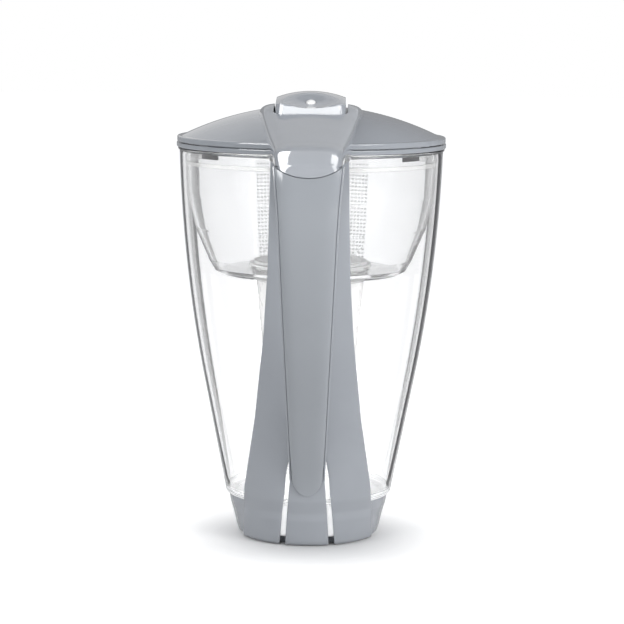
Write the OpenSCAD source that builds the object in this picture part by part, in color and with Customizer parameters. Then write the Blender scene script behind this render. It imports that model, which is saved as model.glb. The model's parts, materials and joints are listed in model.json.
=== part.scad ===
// Water filter pitcher with a rocking flip lid, seen from its handle side.
// Origin at the centre of the resting face, +Z up, handle toward -Y, spout toward +Y.

/* [Jug] */
// Outer radius of the jug where it leaves the base cup
jug_low_radius = 49.7; // [49:0.1:50.5]
// Height at which the jug leaves the base cup
jug_low_z = 25.2; // [25:0.1:25.6]
// Radius gained per millimetre of height on the straight lower wall
jug_slope = 0.196; // [0.19:0.002:0.2]
// Height at which the straight wall turns into the arc
jug_turn_z = 95; // [90:1:100]
// Radius of the arc of the upper wall
jug_arc = 830; // [810:5:850]
// Height of the jug's rim
jug_rim_z = 234; // [233:0.5:234.5]
// Thickness of the jug's wall
jug_wall = 3; // [2.6:0.1:3.2]
// Radius of the bead round the jug's rim
bead_radius = 0.9; // [0.7:0.1:1]
// Height of the inside of the thick bottom
jug_floor_z = 12; // [11:0.5:14]
// Radius of the pouring lip at the rim
lip_radius = 17; // [16.5:0.5:17.5]
// Distance of the pouring lip's centre from the axis
lip_out = 72.5; // [71:0.5:73]

/* [Base and spine] */
// Thickness of the base cup's wall
cup_wall = 2; // [1.8:0.1:2.2]
// Thickness of the spine that hugs the jug
spine_wall = 2.3; // [2:0.1:2.5]
// Radius of the foot pad
foot_radius = 34; // [30:1:36]
// Thickness of the foot pad
foot_thick = 1.8; // [1.5:0.1:2]
// How far the handle's tail stands out from the spine
tail_proud = 0.6; // [0.5:0.1:0.8]

/* [Handle] */
// Half width of the grip at its narrowest point
grip_low = 10.75; // [10.4:0.05:11]
// Half width gained per millimetre of height
grip_taper = 0.0413; // [0.04:0.0001:0.042]
// Extra half width where the grip flares under the hood
grip_flare = 0.9; // [0.5:0.1:1]
// Depth of the grip at the top
grip_deep = 17; // [16:0.5:18]
// Depth of the grip at the bottom
grip_shallow = 12.5; // [12:0.5:13]
// Width of the frame's lip beside the grip cover
lip_wide = 1.1; // [1:0.1:1.3]
// Depth of the recess that holds the grip cover
cover_deep = 4.4; // [4.2:0.1:4.8]
// Height of the round tip of the grip cover
cover_tip_z = 32.5; // [32:0.5:34]

/* [Lid] */
// Radius of the lid's dome
dome_radius = 174; // [172:1:176]
// Height of the top of the dome
dome_top_z = 258.5; // [258:0.1:259]
// Thickness of the lid
lid_wall = 2.2; // [2:0.1:2.4]
// Height of the straight edge round the lid
lid_edge = 3.2; // [2.8:0.1:3.6]
// Thickness of the hood's shell
hood_wall = 2.3; // [2.2:0.1:2.4]
// Height of the seam between hood and grip at the middle
seam_z = 225.8; // [225.5:0.1:226.2]
// Radius of the seam's arc
seam_radius = 32; // [31:0.5:33]

/* [Flip lid] */
// Distance of the rocker's axis behind the jug's axis
hinge_back = 42.9; // [42.5:0.1:43.2]
// Height of the rocker's axis
hinge_z = 252.5; // [252.2:0.1:252.8]
// Radius of the round rear wall, struck from the rocker's axis
drum_radius = 17.4; // [17:0.1:17.6]
// Half width of the flip lid
flap_half = 21; // [20.5:0.1:21.2]
// Radius of the corners of the rear wall
drum_corner = 6; // [5:0.5:7]
// Radius of the flip lid's crowned top from back to front
crown_radius = 160; // [155:1:165]
// Radius of the crowned top from side to side
crown_cross = 58; // [56:1:64]
// Height of the crown
crown_z = 268; // [267.5:0.1:268.5]
// Radius of the thumb dish
dish_radius = 39.95; // [39.5:0.05:40.5]
// Thickness of the flip lid's skin
flap_wall = 2.2; // [2:0.1:2.3]
// Radius of the hinge pins
pin_radius = 1.5; // [1.4:0.1:1.6]
// Radius of the indicator lens
lens_radius = 2.75; // [2.5:0.05:3]
// Half width of the fill opening
fill_half = 15; // [14:0.5:15.5]

/* [Hopper and cartridge] */
// Wall of the hopper
hopper_wall = 1.8; // [1.6:0.1:2]
// Height of the underside of the hopper's floor
hopper_floor_z = 159; // [158.5:0.1:159.5]
// Distance of the hopper's flat front wall from the axis
front_wall_y = 52; // [50:1:54]
// Radius of the socket that holds the cartridge
socket_radius = 33.3; // [33.2:0.1:33.5]
// Height of the cartridge's lowest point
cartridge_low_z = 66; // [60:1:75]
// Radius of the holes in the spout screen
hole_radius = 0.9; // [0.7:0.1:1.1]
// Distance between the holes of the spout screen
hole_pitch = 5.6; // [5.4:0.1:6]

/* [Hidden] */
$fn = 72;
// Gap between bonded pieces of one body
bond = 0.1;
// Gap between pieces that move apart
gap = 0.3;
// Gap around the rocker
rock_gap = 0.45;
// Radial running clearance of a pin in its bore
run = 0.05;
jug_turn_r = jug_low_radius + jug_slope * (jug_turn_z - jug_low_z);
turn_angle = atan(jug_slope);
arc_x = jug_turn_r - jug_arc * cos(turn_angle);
arc_z = jug_turn_z + jug_arc * sin(turn_angle);
floor_z = 0.4;
cup_top_z = jug_low_z;
cup_floor_z = 4.4;
cup_line = [[floor_z, 40.2], [2, 42.3], [6, 43.6], [12.8, 45.2], [18.8, 47], [cup_top_z, 48.3]];
spine_top_z = jug_rim_z - 2.5;
rim_radius = jug_r(jug_rim_z);
hopper_neck = rim_radius - jug_wall - 0.72;
flange_radius = rim_radius - 0.22;
collar_in = rim_radius + 0.13;
collar_radius = collar_in + 1.55;
collar_low_z = jug_rim_z + bond;
lid_radius = collar_radius - gap;
hood_low_z = jug_rim_z - 2;
frame_top_z = hood_low_z - 0.4;
flange_low_z = jug_rim_z + gap;
flange_thick = 2;
flange_top_z = flange_low_z + flange_thick;
collar_top_z = flange_top_z + 0.4;
lid_low_z = collar_top_z + 2 * gap;
dome_z = dome_top_z - dome_radius;
crown_mid = -25;
crown_cz = crown_z - crown_radius;
dish_y = -62;
dish_z = 299.4;
lens_y = -47;
lens_tilt = asin((lens_y - dish_y) / dish_radius);
lens_rise = 1.3;
lens_ball = (lens_radius * lens_radius + lens_rise * lens_rise) / (2 * lens_rise);
seat_z = hopper_floor_z + 2;
hopper_line = [[hopper_neck - 20.9, hopper_floor_z], [hopper_neck - 17.4, seat_z],
  [hopper_neck - 13.9, seat_z + 6], [hopper_neck - 5.9, seat_z + 25], [hopper_neck - 1.5, seat_z + 44],
  [hopper_neck, flange_low_z]];
hopper_seal_z = flange_low_z - 9;
lug_z = flange_low_z - 5.1;
seal_thick = 1.3;
cartridge_flange_z = seat_z + gap + seal_thick + bond;
cartridge_rim_z = cartridge_flange_z + 2;
cap_z = cartridge_rim_z + 1.3;
cap_ball_z = cap_z - 60;
cartridge_wall = 1.6;
cartridge_neck = 32.8;
fill_front = 11;
fill_back = -2;
screen_low_z = 153;
screen_top_z = 222;
screen_angle = 30;
handle_line = [[-136.4, 236], [-158, 165], [-60, 60], [-54.6, 30]];
hood_line = [[14, 251], [-12, 259], [-36, 261.5], [-60, 256.8], [-88, 250.6], [-112, 245],
  [-127, 241], [-136, 234], [-139.3, 226], [-140.3, 218]];
fan = [-100, 214];
skirt_radius = hopper_neck - hopper_wall - 1.6;
grip_stations = [for (i = [0 : 20]) i * 0.044];

function jug_r(z) = z < jug_turn_z ? jug_low_radius + jug_slope * (z - jug_low_z)
  : arc_x + sqrt(jug_arc * jug_arc - (z - arc_z) * (z - arc_z));
function cup_r(z) = lookup(z, cup_line);
function reverse(v) = [for (i = [len(v) - 1 : -1 : 0]) v[i]];
function bezier(p, t) = pow(1 - t, 3) * p[0] + 3 * pow(1 - t, 2) * t * p[1]
  + 3 * (1 - t) * t * t * p[2] + pow(t, 3) * p[3];
function unit(v) = v / norm(v);
function bezier_way(p, t) = unit(pow(1 - t, 2) * (p[1] - p[0]) + 2 * (1 - t) * t * (p[2] - p[1])
  + t * t * (p[3] - p[2]));
function spline_at(p, i, t) =
  let (a = p[max(i - 1, 0)], b = p[i], c = p[i + 1], d = p[min(i + 2, len(p) - 1)])
  0.5 * (2 * b + (c - a) * t + (2 * a - 5 * b + 4 * c - d) * t * t
  + (3 * b - a - 3 * c + d) * t * t * t);
// Depth of a crowned back at the side position s, from -1 to 1
function back_depth(s, deep, power) = deep * (1 - pow(1 - pow(min(abs(s), 1), power), 1 / power));

// A closed skin over sections, each made of a far path and a near path of equal length
module skin(far, near) {
  k = len(far[0]);
  n = 2 * k;
  m = len(far);
  points = [for (i = [0 : m - 1]) each concat(far[i], reverse(near[i]))];
  side = [for (i = [0 : m - 2]) for (j = [0 : n - 1]) each [
    [i * n + j, i * n + (j + 1) % n, (i + 1) * n + (j + 1) % n],
    [i * n + j, (i + 1) * n + (j + 1) % n, (i + 1) * n + j]]];
  first = [for (j = [0 : k - 2]) each [[j, n - 1 - j, j + 1], [j + 1, n - 1 - j, n - 2 - j]]];
  e = (m - 1) * n;
  last = [for (f = first) [e + f[0], e + f[2], e + f[1]]];
  polyhedron(points = points, faces = concat(side, first, last), convexity = 8);
}

// Half section of everything inside the jug's outer wall, moved out by o
module upper_half(o, z0, z1) {
  low = max(z0, jug_low_z);
  polygon([[0, low], [jug_r(low) + o, low], [jug_turn_r + o, jug_turn_z],
    [jug_turn_r - 12, jug_turn_z + 4], [0, jug_turn_z + 4]]);
  intersection() {
    translate([arc_x + o, arc_z]) circle(r = jug_arc, $fn = 720);
    translate([0, jug_turn_z]) square([120, z1 - jug_turn_z]);
  }
}

// Half section of the jug and its cup together, moved out by o
module core_half(o, z1) {
  upper_half(o, jug_low_z, z1);
  polygon(concat([[0, floor_z]], [for (p = cup_line) [p[1] + o, p[0]]],
    [[cup_r(cup_top_z) + o - 0.3, jug_low_z + 4], [0, jug_low_z + 4]]));
}

module core_solid(o, z1) {
  rotate_extrude() core_half(o, z1);
}

// Half section of the jug alone, with the part that sits inside the cup
module jug_half() {
  upper_half(0, jug_low_z + 1.2, jug_rim_z);
  foot = [for (p = cup_line) if (p[0] > cup_floor_z) [p[1] - cup_wall - bond, p[0]]];
  polygon(concat([[0, cup_floor_z + bond], [cup_r(cup_floor_z) - cup_wall - 1.5, cup_floor_z + bond]],
    foot, [[cup_r(cup_top_z) - cup_wall - bond, cup_top_z + bond],
    [jug_low_radius - 0.6, cup_top_z + bond], [jug_r(jug_low_z + 1.2), jug_low_z + 1.2],
    [jug_low_radius - 1, jug_low_z + 4], [0, jug_low_z + 4]]));
}

module jug_hollow_half() {
  polygon([[0, jug_floor_z], [33, jug_floor_z], [38.5, jug_floor_z + 2.5], [41.6, 20], [43.2, 24.4],
    [46.9, 28.5], [jug_r(36) - jug_wall, 36], [40, 40], [0, 40]]);
  translate([-jug_wall, 0]) intersection() {
    upper_half(0, 36, jug_rim_z + 1);
    translate([jug_wall, 36]) square([120, 240]);
  }
}

// The pouring lip: a leaning cone that leaves the wall and widens to the rim
module beak(o, z1) {
  foot_y = 62;
  foot_z = 186;
  lean = atan((lip_out - foot_y) / (jug_rim_z - foot_z));
  long = norm([lip_out - foot_y, jug_rim_z - foot_z]);
  intersection() {
    translate([0, foot_y, foot_z]) rotate([-lean, 0, 0])
      cylinder(h = long * 1.3, r1 = 10 + o, r2 = 10 + (lip_radius - 10.9) * 1.3 + o);
    translate([-40, 0, 150]) cube([80, 120, z1 - 150]);
  }
}

// Outline of a rim that runs out into the lip
module teardrop(big, small) {
  turn = acos((big - small) / lip_out);
  circle(r = big, $fn = 144);
  translate([0, lip_out]) circle(r = small);
  b = big - 0.05;
  l = small - 0.05;
  polygon([[b * sin(turn), b * cos(turn)], [l * sin(turn), lip_out + l * cos(turn)],
    [-l * sin(turn), lip_out + l * cos(turn)], [-b * sin(turn), b * cos(turn)]]);
}

module glass_jug() {
  color("aliceblue", 0.4) difference() {
    union() {
      rotate_extrude() jug_half();
      beak(0, jug_rim_z);
      rotate_extrude() translate([rim_radius, jug_rim_z - bead_radius]) circle(r = bead_radius);
    }
    rotate_extrude() jug_hollow_half();
    beak(-jug_wall + 0.4, jug_rim_z + 1);
  }
}

// Upright slab behind the axis over a line of [half width, height] points, closed to both sides
module upright(line) {
  rotate([90, 0, 0]) linear_extrude(120)
    polygon(concat(line, reverse([for (p = line) if (p[0] > 0) [-p[0], p[1]]])));
}

// Cut through the fork of the spine that leaves the two slits beside the tail
module fork() {
  upright([[16.3, -1], [14.7, 21.5], [13.3, 33], [12.5, 44.4], [10.6, 56], [8, 66], [0, 74]]);
}

module base_shell() {
  color("slategray") difference() {
    rotate_extrude() difference() {
      polygon(concat([[0, floor_z]], [for (p = cup_line) [p[1], p[0]]], [[0, cup_top_z]]));
      polygon(concat([[0, cup_floor_z], [cup_r(cup_floor_z) - cup_wall - 1.2, cup_floor_z]],
        [for (p = cup_line) if (p[0] > cup_floor_z) [p[1] - cup_wall, p[0]]],
        [[cup_r(cup_top_z) - cup_wall, 40], [0, 40]]));
    }
    translate([0, 0, -1]) cylinder(h = foot_thick + bond + 1, r = foot_radius + bond);
    difference() {
      fork();
      translate([0, 0, -1]) cylinder(h = 60, r = foot_radius + 3);
    }
  }
}

module foot_pad() {
  color("dimgray") cylinder(h = foot_thick, r = foot_radius);
}

module spine_outline() {
  upright([[38.6, 0], [38.4, 14], [37.4, 35], [31, 79], [26.2, 127], [23.9, 163], [23.1, 189],
    [22.2, spine_top_z]]);
}

module rear_spine() {
  color("slategray") difference() {
    intersection() {
      rotate_extrude() difference() {
        core_half(spine_wall + bond, spine_top_z);
        core_half(bond, spine_top_z + 1);
      }
      spine_outline();
    }
    fork();
  }
}

module top_collar() {
  color("slategray") difference() {
    translate([0, 0, collar_low_z]) linear_extrude(collar_top_z - collar_low_z)
      teardrop(collar_radius, lip_radius + 1.9);
    translate([0, 0, collar_low_z - 1]) linear_extrude(10) teardrop(collar_in, lip_radius + 0.4);
  }
}

function grip_half(z) = grip_low + grip_taper * (z - 48)
  + grip_flare * pow(max(0, (z - 192) / 34), 2);
function grip_depth(t) = grip_deep + (grip_shallow - grip_deep) * t;
// A point of the grip's section: x across, d into the depth, at place t along its back
function grip_point(t, x, d) = let (p = bezier(handle_line, t), w = bezier_way(handle_line, t))
  [x, p[0] - d * w[1], p[1] + d * w[0]];
// Share of the cover's full width near its round tip
function tip_share(z) = z > cover_tip_z + 15 ? 1
  : sqrt(max(0.02, 1 - pow((cover_tip_z + 15 - z) / 15, 2)));
function grip_back(s) = back_depth(s, 8, 3.5);
// Half width of the cover at height z
function cover_half(z) = (grip_half(z) - lip_wide - bond) * tip_share(z);

function frame_far(t) =
  let (w = grip_half(bezier(handle_line, t)[1]), c = w - lip_wide, h = grip_depth(t))
  concat([for (s = [-c / w, -0.975]) grip_point(t, s * w, grip_back(s))],
    [for (a = [180 : 20 : 360]) grip_point(t, w * cos(a), 6 - (h - 6) * sin(a))],
    [for (s = [0.975, c / w]) grip_point(t, s * w, grip_back(s))]);
function frame_near(t) = let (w = grip_half(bezier(handle_line, t)[1]), c = w - lip_wide)
  [for (i = [0 : 13]) grip_point(t, c * (i / 6.5 - 1), cover_deep)];
function cover_far(t) = let (z = bezier(handle_line, t)[1], w = grip_half(z), c = cover_half(z))
  [for (i = [0 : 10]) let (s = sin((i / 5 - 1) * 90)) grip_point(t, s * c, grip_back(s * c / w))];
function cover_near(t) = let (c = cover_half(bezier(handle_line, t)[1]))
  [for (i = [0 : 10]) grip_point(t, sin((i / 5 - 1) * 90) * c, cover_deep - bond)];

// Side view of the arm that joins the grip to the collar, with the finger gap's round top
module arm_side() {
  difference() {
    polygon([[-70, 186], [-70, 235.5], [-126, 235.5], [-133, 231], [-133, 198], [-126, 190],
      [-110, 186]]);
    translate([-97, 203]) circle(r = 13);
    translate([-111, 203]) circle(r = 13);
    translate([-111, 180]) square([14, 36]);
    polygon([[-84, 203.5], [-81, 185], [-124, 185], [-124, 203.5]]);
  }
}

module seam_cut(r) {
  translate([0, -100, seam_z + seam_radius]) rotate([90, 0, 0]) cylinder(h = 60, r = r, $fn = 120);
}

module handle_frame() {
  color("lightslategray") difference() {
    union() {
      difference() {
        union() {
          skin([for (t = grip_stations) frame_near(t)], [for (t = grip_stations) frame_far(t)]);
          intersection() {
            rotate([90, 0, 90]) translate([0, 0, -13]) linear_extrude(26) arm_side();
            translate([-40, -134, 190]) cube([80, 60, 60]);
          }
        }
        core_solid(spine_wall + 2 * bond, 240);
        translate([0, 0, 180]) cylinder(h = 60, r = collar_radius + bond);
      }
      intersection() {
        rotate_extrude() difference() {
          core_half(spine_wall + tail_proud, 80);
          jug_half_grown(bond);
        }
        upright([[12.9, floor_z], [12.3, 12], [11.7, 21.5], [10.9, 33], [10.1, 44], [9.6, 52],
          [9, 58]]);
      }
    }
    translate([-40, -170, frame_top_z]) cube([80, 46, 20]);
  }
}

// The jug's own outline in half section, grown by o, without its hollow
module jug_half_grown(o) {
  upper_half(o, jug_low_z, 240);
  foot = [for (p = cup_line) [p[1] - cup_wall - bond + o, p[0]]];
  edge = cup_r(cup_top_z) - cup_wall + o;
  polygon(concat([[0, 0]], foot, [[edge, jug_low_z + 4], [0, jug_low_z + 4]]));
}

module grip_cover() {
  stations = concat([for (t = grip_stations) if (t < 0.84) t],
    [for (i = [1 : 8]) 0.836 + i / 8 * 0.149]);
  color("gray") difference() {
    skin([for (t = stations) cover_far(t)], [for (t = stations) cover_near(t)]);
    seam_cut(seam_radius + 0.2);
    core_solid(spine_wall + tail_proud + bond, 80);
  }
}

// Half section of the hopper's outside
module hopper_outer() {
  polygon(concat([[0, hopper_floor_z]], hopper_line, [[0, flange_low_z]]));
}

module hopper_inner() {
  in = hopper_neck - hopper_wall;
  polygon([[0, seat_z], [in - 20.1, seat_z], [in - 17.1, seat_z + 1.8], [in - 13.9, seat_z + 7],
    [in - 5.9, seat_z + 26], [in - 1.5, seat_z + 44.4], [in, flange_top_z + 1], [0, flange_top_z + 1]]);
}

module hopper() {
  color("whitesmoke", 0.5) difference() {
    union() {
      intersection() {
        rotate_extrude() hopper_outer();
        translate([-90, -90, 150]) cube([180, 90 + front_wall_y, 90]);
      }
      translate([0, 0, flange_low_z]) cylinder(h = flange_thick, r = flange_radius, $fn = 144);
      translate([0, 0, hopper_floor_z - 4]) cylinder(h = 5, r = socket_radius + 1.4);
    }
    intersection() {
      rotate_extrude() hopper_inner();
      translate([-90, -90, 150]) cube([180, 90 + front_wall_y - hopper_wall, 90]);
    }
    translate([0, 0, flange_low_z - 1]) cylinder(h = 5, r = hopper_neck - hopper_wall, $fn = 144);
    translate([0, 0, hopper_floor_z - 6]) cylinder(h = 12, r = socket_radius);
    translate([-15, 60, flange_low_z - 1]) cube([30, 30, 5]);
    translate([-90, front_wall_y - hopper_wall - 0.1, flange_low_z - 8.3]) cube([180, 2.2, 8.2]);
    lug_pocket(0);
    lug_pocket(1);
    translate([0, 0, hopper_seal_z]) seal_ring(bond);
  }
}

// Groove or ring of the hopper's seal
module seal_ring(o) {
  rotate_extrude() translate([hopper_neck - 1 - o, -1.1 - o]) square([2, 2.2 + 2 * o]);
}

module hopper_seal() {
  color("darkgray") intersection() {
    translate([0, 0, hopper_seal_z]) rotate_extrude() translate([hopper_neck - 1, -1.1])
      square([1.1, 2.2]);
    translate([-90, -90, 200]) cube([180, 90 + front_wall_y - 4, 60]);
  }
}

// One of the two dark lugs on the hopper, on the left or the right of the handle
module lug(right, o) {
  rotate([0, 0, (right == 1 ? -40 : 220) - 5.5 - o]) rotate_extrude(angle = 11 + 2 * o)
    translate([hopper_neck - 0.9 - o, lug_z - o]) square([0.9 + 2 * o, 2.4 + 2 * o]);
}

module lug_pocket(right) {
  lug(right, bond);
}

module hopper_lug_left() {
  color("dimgray") lug(0, 0);
}

module hopper_lug_right() {
  color("dimgray") lug(1, 0);
}

// Radius of the middle of the spout screen at height z
function screen_r(z) = jug_r(z) - jug_wall - 1.3;

module spout_screen() {
  rows = floor((screen_top_z - screen_low_z - 4) / hole_pitch);
  color("white") difference() {
    rotate([0, 0, 90 - screen_angle]) rotate_extrude(angle = 2 * screen_angle)
      polygon(concat(
        [for (z = [screen_low_z, screen_top_z, 230]) [screen_r(z) + 0.6, z]],
        [[screen_r(230) + 0.6, flange_low_z - bond], [screen_r(230) - 0.6, flange_low_z - bond]],
        [for (z = [230, screen_top_z, screen_low_z]) [screen_r(z) - 0.6, z]]));
    for (i = [0 : rows]) for (j = [-5 : 5])
      translate([0, 0, screen_low_z + 3 + i * hole_pitch]) rotate([0, 0, j * 4.9])
        translate([0, screen_r(190) + 6, 0]) rotate([90, 0, 0])
          cylinder(h = 14, r = hole_radius, $fn = 24);
    translate([-15, 60, flange_low_z - 6.3]) cube([30, 30, 10]);
  }
}

// Half section of the cartridge's outside below its flange
module cartridge_outer(o) {
  polygon([[0, cartridge_low_z + o], [20, cartridge_low_z + o], [25.4 - o, cartridge_low_z + 5],
    [29 - o, 120], [32.4 - o, 155], [cartridge_neck - o, cartridge_rim_z], [0, cartridge_rim_z]]);
}

module cartridge_shell() {
  color("white") difference() {
    rotate_extrude() difference() {
      union() {
        cartridge_outer(0);
        translate([0, cartridge_flange_z]) square([36.6, 2]);
      }
      cartridge_outer(cartridge_wall);
      translate([0, cartridge_rim_z - 5]) square([cartridge_neck - cartridge_wall, 20]);
    }
    for (i = [0 : 23]) rotate([0, 0, i * 15]) translate([22, -0.75, cartridge_low_z + 8])
      cube([10, 1.5, 10]);
    for (i = [0 : 11]) rotate([0, 0, i * 30]) translate([9, -0.9, cartridge_low_z - 1])
      cube([8, 1.8, 4]);
  }
}

module cartridge_cap() {
  color("white") difference() {
    union() {
      translate([0, 0, cartridge_rim_z + bond]) cylinder(h = 1.6, r = 34);
      translate([0, 0, cartridge_rim_z - 4.6]) cylinder(h = 5, r = cartridge_neck - cartridge_wall - bond);
      intersection() {
        translate([0, 0, cap_ball_z]) sphere(r = 68);
        translate([0, 0, cap_z]) cylinder(h = 12, r = 30.5);
      }
      translate([-11, -1.4, cap_z + 4]) cube([22, 2.8, 14]);
    }
    difference() {
      intersection() {
        translate([0, 0, cap_ball_z]) sphere(r = 66.2);
        translate([0, 0, cap_z - 7]) cylinder(h = 16, r = 28.8);
      }
      translate([0, 0, cap_z - 16]) cylinder(h = 10, r = 40);
    }
    for (i = [0 : 11]) rotate([0, 0, i * 30 + 15]) translate([14, -1, cap_z - 6]) cube([10, 2, 20]);
    translate([0, 5, cap_z + 12.4]) rotate([90, 0, 0]) cylinder(h = 10, r = 3.4);
  }
}

module cartridge_seal() {
  color("gainsboro") rotate_extrude() translate([33.5, seat_z + gap]) square([2.7, seal_thick]);
}

module filter_media() {
  color("dimgray") intersection() {
    rotate_extrude() cartridge_outer(cartridge_wall + bond);
    translate([0, 0, cartridge_low_z + 3]) cylinder(h = 78, r = 40);
  }
}

module cartridge_mesh() {
  color("gainsboro") difference() {
    translate([0, 0, 152]) cylinder(h = 1.2, r = 30.4);
    for (i = [-3 : 3]) for (j = [-3 : 3]) if (norm([i, j]) < 3.4)
      translate([i * 7.4 - 2.4, j * 7.4 - 2.4, 150]) cube([4.8, 4.8, 4]);
  }
}

// Half section of the space under a dome of radius r, out to cut and down to low
module dome_half(r, cut, low) {
  intersection() {
    translate([0, dome_z]) circle(r = r, $fn = 360);
    translate([0, low]) square([cut, 60]);
  }
}

module dome(r, cut, low) {
  intersection() {
    translate([0, 0, dome_z]) sphere(r = r, $fn = 180);
    translate([0, 0, low]) cylinder(h = 60, r = cut, $fn = 144);
  }
}

// Body of revolution about the rocker's axis, with round corners
module drum(r, half, corner) {
  translate([0, -hinge_back, hinge_z]) rotate([0, 90, 0]) rotate_extrude($fn = 96) {
    translate([0, -half]) square([r - corner, 2 * half]);
    translate([0, corner - half]) square([r, 2 * (half - corner)]);
    translate([r - corner, half - corner]) circle(r = corner);
    translate([r - corner, corner - half]) circle(r = corner);
  }
}

// Plan of the flip lid ahead of its axis
module flap_plan(half, front) {
  translate([-half, -hinge_back - 1]) square([2 * half, hinge_back + 1 + front]);
  translate([0, front]) circle(r = half);
}

module fill_plan(half) {
  translate([-half, fill_back]) square([2 * half, fill_front - fill_back]);
  translate([0, fill_front]) circle(r = half);
  translate([0, fill_back]) circle(r = half);
}

// Ridge that roofs the pouring lip
module brow(r) {
  translate([0, 52, lid_low_z + 13.2 - 24]) rotate([-104.5, 0, 0])
    translate([0, 0, -12]) cylinder(h = 64, r = r);
}

module lid_shell() {
  color("slategray") difference() {
    union() {
      difference() {
        union() {
          rotate_extrude($fn = 144) {
            dome_half(dome_radius, lid_radius, lid_low_z);
            translate([0, lid_low_z]) square([lid_radius, lid_edge]);
          }
          intersection() {
            brow(24);
            translate([0, 0, lid_low_z]) linear_extrude(16) teardrop(lid_radius, lip_radius + 1.8);
          }
          translate([0, 0, lid_low_z]) linear_extrude(lid_wall)
            teardrop(lid_radius - 0.4, lip_radius + 1.8);
        }
        rotate_extrude($fn = 144)
          dome_half(dome_radius - lid_wall, lid_radius - lid_wall, lid_low_z - 1);
        intersection() {
          brow(24 - lid_wall);
          translate([0, 0, lid_low_z - 1]) linear_extrude(20)
            teardrop(lid_radius - lid_wall, lip_radius + 1.8 - lid_wall);
        }
      }
      difference() {
        rotate_extrude($fn = 144) difference() {
          dome_half(dome_radius - 1, skirt_radius, lid_low_z - 9.1);
          translate([-1, 200]) square([1 + skirt_radius - 1.8, 80]);
        }
        translate([-17, 40, 220]) cube([34, 60, 40]);
      }
      intersection() {
        rotate_extrude($fn = 144) dome_half(dome_radius - 1, 40, 246);
        translate([0, 0, 240]) linear_extrude(30) fill_plan(fill_half + 1.6);
      }
      intersection() {
        drum(drum_radius + rock_gap + 1.6, flap_half + rock_gap + 2,
          drum_corner + rock_gap + 1.6);
        translate([-40, -90, 200]) cube([80, 90, 53.6]);
      }
      for (x = [-flap_half - rock_gap - 3.6, flap_half + rock_gap])
        translate([x, -hinge_back, hinge_z]) rotate([0, 90, 0]) cylinder(h = 3.6, r = 3.1);
    }
    drum(drum_radius + rock_gap, flap_half + rock_gap, drum_corner + rock_gap);
    translate([0, 0, 240]) linear_extrude(30) fill_plan(fill_half);
    translate([-40, -hinge_back, hinge_z]) rotate([0, 90, 0]) cylinder(h = 80, r = pin_radius);
  }
}

function hood_half(y) = 29.2 - 0.102 * (-y - 40);
function hood_point(p, x, d) = let (u = unit(p - fan)) [x, p[0] - d * u[0], p[1] - d * u[1]];
function hood_path(p, w, o) = [for (a = [180 : -15 : 0]) let (
  x = (cos(a) < 0 ? -1 : 1) * pow(abs(cos(a)), 2 / 7), s = pow(abs(sin(a)), 2 / 7))
  hood_point(p, x * (w - o - 3.1 * (1 - s)), o + 26 * (1 - s) + 1.5 * x * x)];

module lid_hood() {
  count = len(hood_line) - 1;
  track = concat([for (i = [0 : count - 1]) for (t = [0, 0.34, 0.67]) spline_at(hood_line, i, t)],
    [hood_line[count]]);
  color("slategray") difference() {
    intersection() {
      skin([for (p = track) hood_path(p, hood_half(p[0]), 0)],
        [for (p = track) hood_path(p, hood_half(p[0]), hood_wall)]);
      union() {
        translate([-50, -150, hood_low_z]) cube([100, 150, 60]);
        intersection() {
          seam_cut(seam_radius - 0.2);
          translate([-16.9, -160, 200]) cube([33.8, 25.4, 60]);
        }
      }
    }
    dome(dome_radius + bond, lid_radius + bond, lid_low_z - 20);
    translate([0, 0, 220]) cylinder(h = lid_low_z + bond - 220, r = collar_radius + 0.4, $fn = 144);
    translate([0, 0, lid_low_z]) cylinder(h = lid_edge + bond, r = lid_radius + bond, $fn = 144);
    drum(drum_radius + rock_gap, flap_half + rock_gap, drum_corner + rock_gap);
    translate([0, 0, 240]) linear_extrude(40) flap_plan(flap_half + rock_gap, 13);
  }
}

module lid_seal() {
  color("dimgray") difference() {
    translate([0, 0, lid_low_z - 7.6]) cylinder(h = 3, r = skirt_radius + 1.2, $fn = 144);
    translate([0, 0, lid_low_z - 8.1]) cylinder(h = 4, r = skirt_radius + bond, $fn = 144);
    translate([-20, 40, 220]) cube([40, 60, 40]);
  }
}

module dish(o) {
  translate([0, dish_y, dish_z]) sphere(r = dish_radius + o, $fn = 144);
}

// Frame of the indicator: origin on the dish, Z out of it
module at_lens() {
  translate([0, lens_y, dish_z - sqrt(dish_radius * dish_radius - pow(lens_y - dish_y, 2))])
    rotate([lens_tilt, 0, 0]) children();
}

// Everything under the crown, whose surface is a ring's outside; r sets its height
module crown(r) {
  translate([0, crown_mid, crown_cz]) rotate([0, 90, 0]) rotate_extrude($fn = 180)
    translate([crown_radius - crown_cross, 0]) circle(r = crown_cross - crown_radius + r);
}

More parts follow.
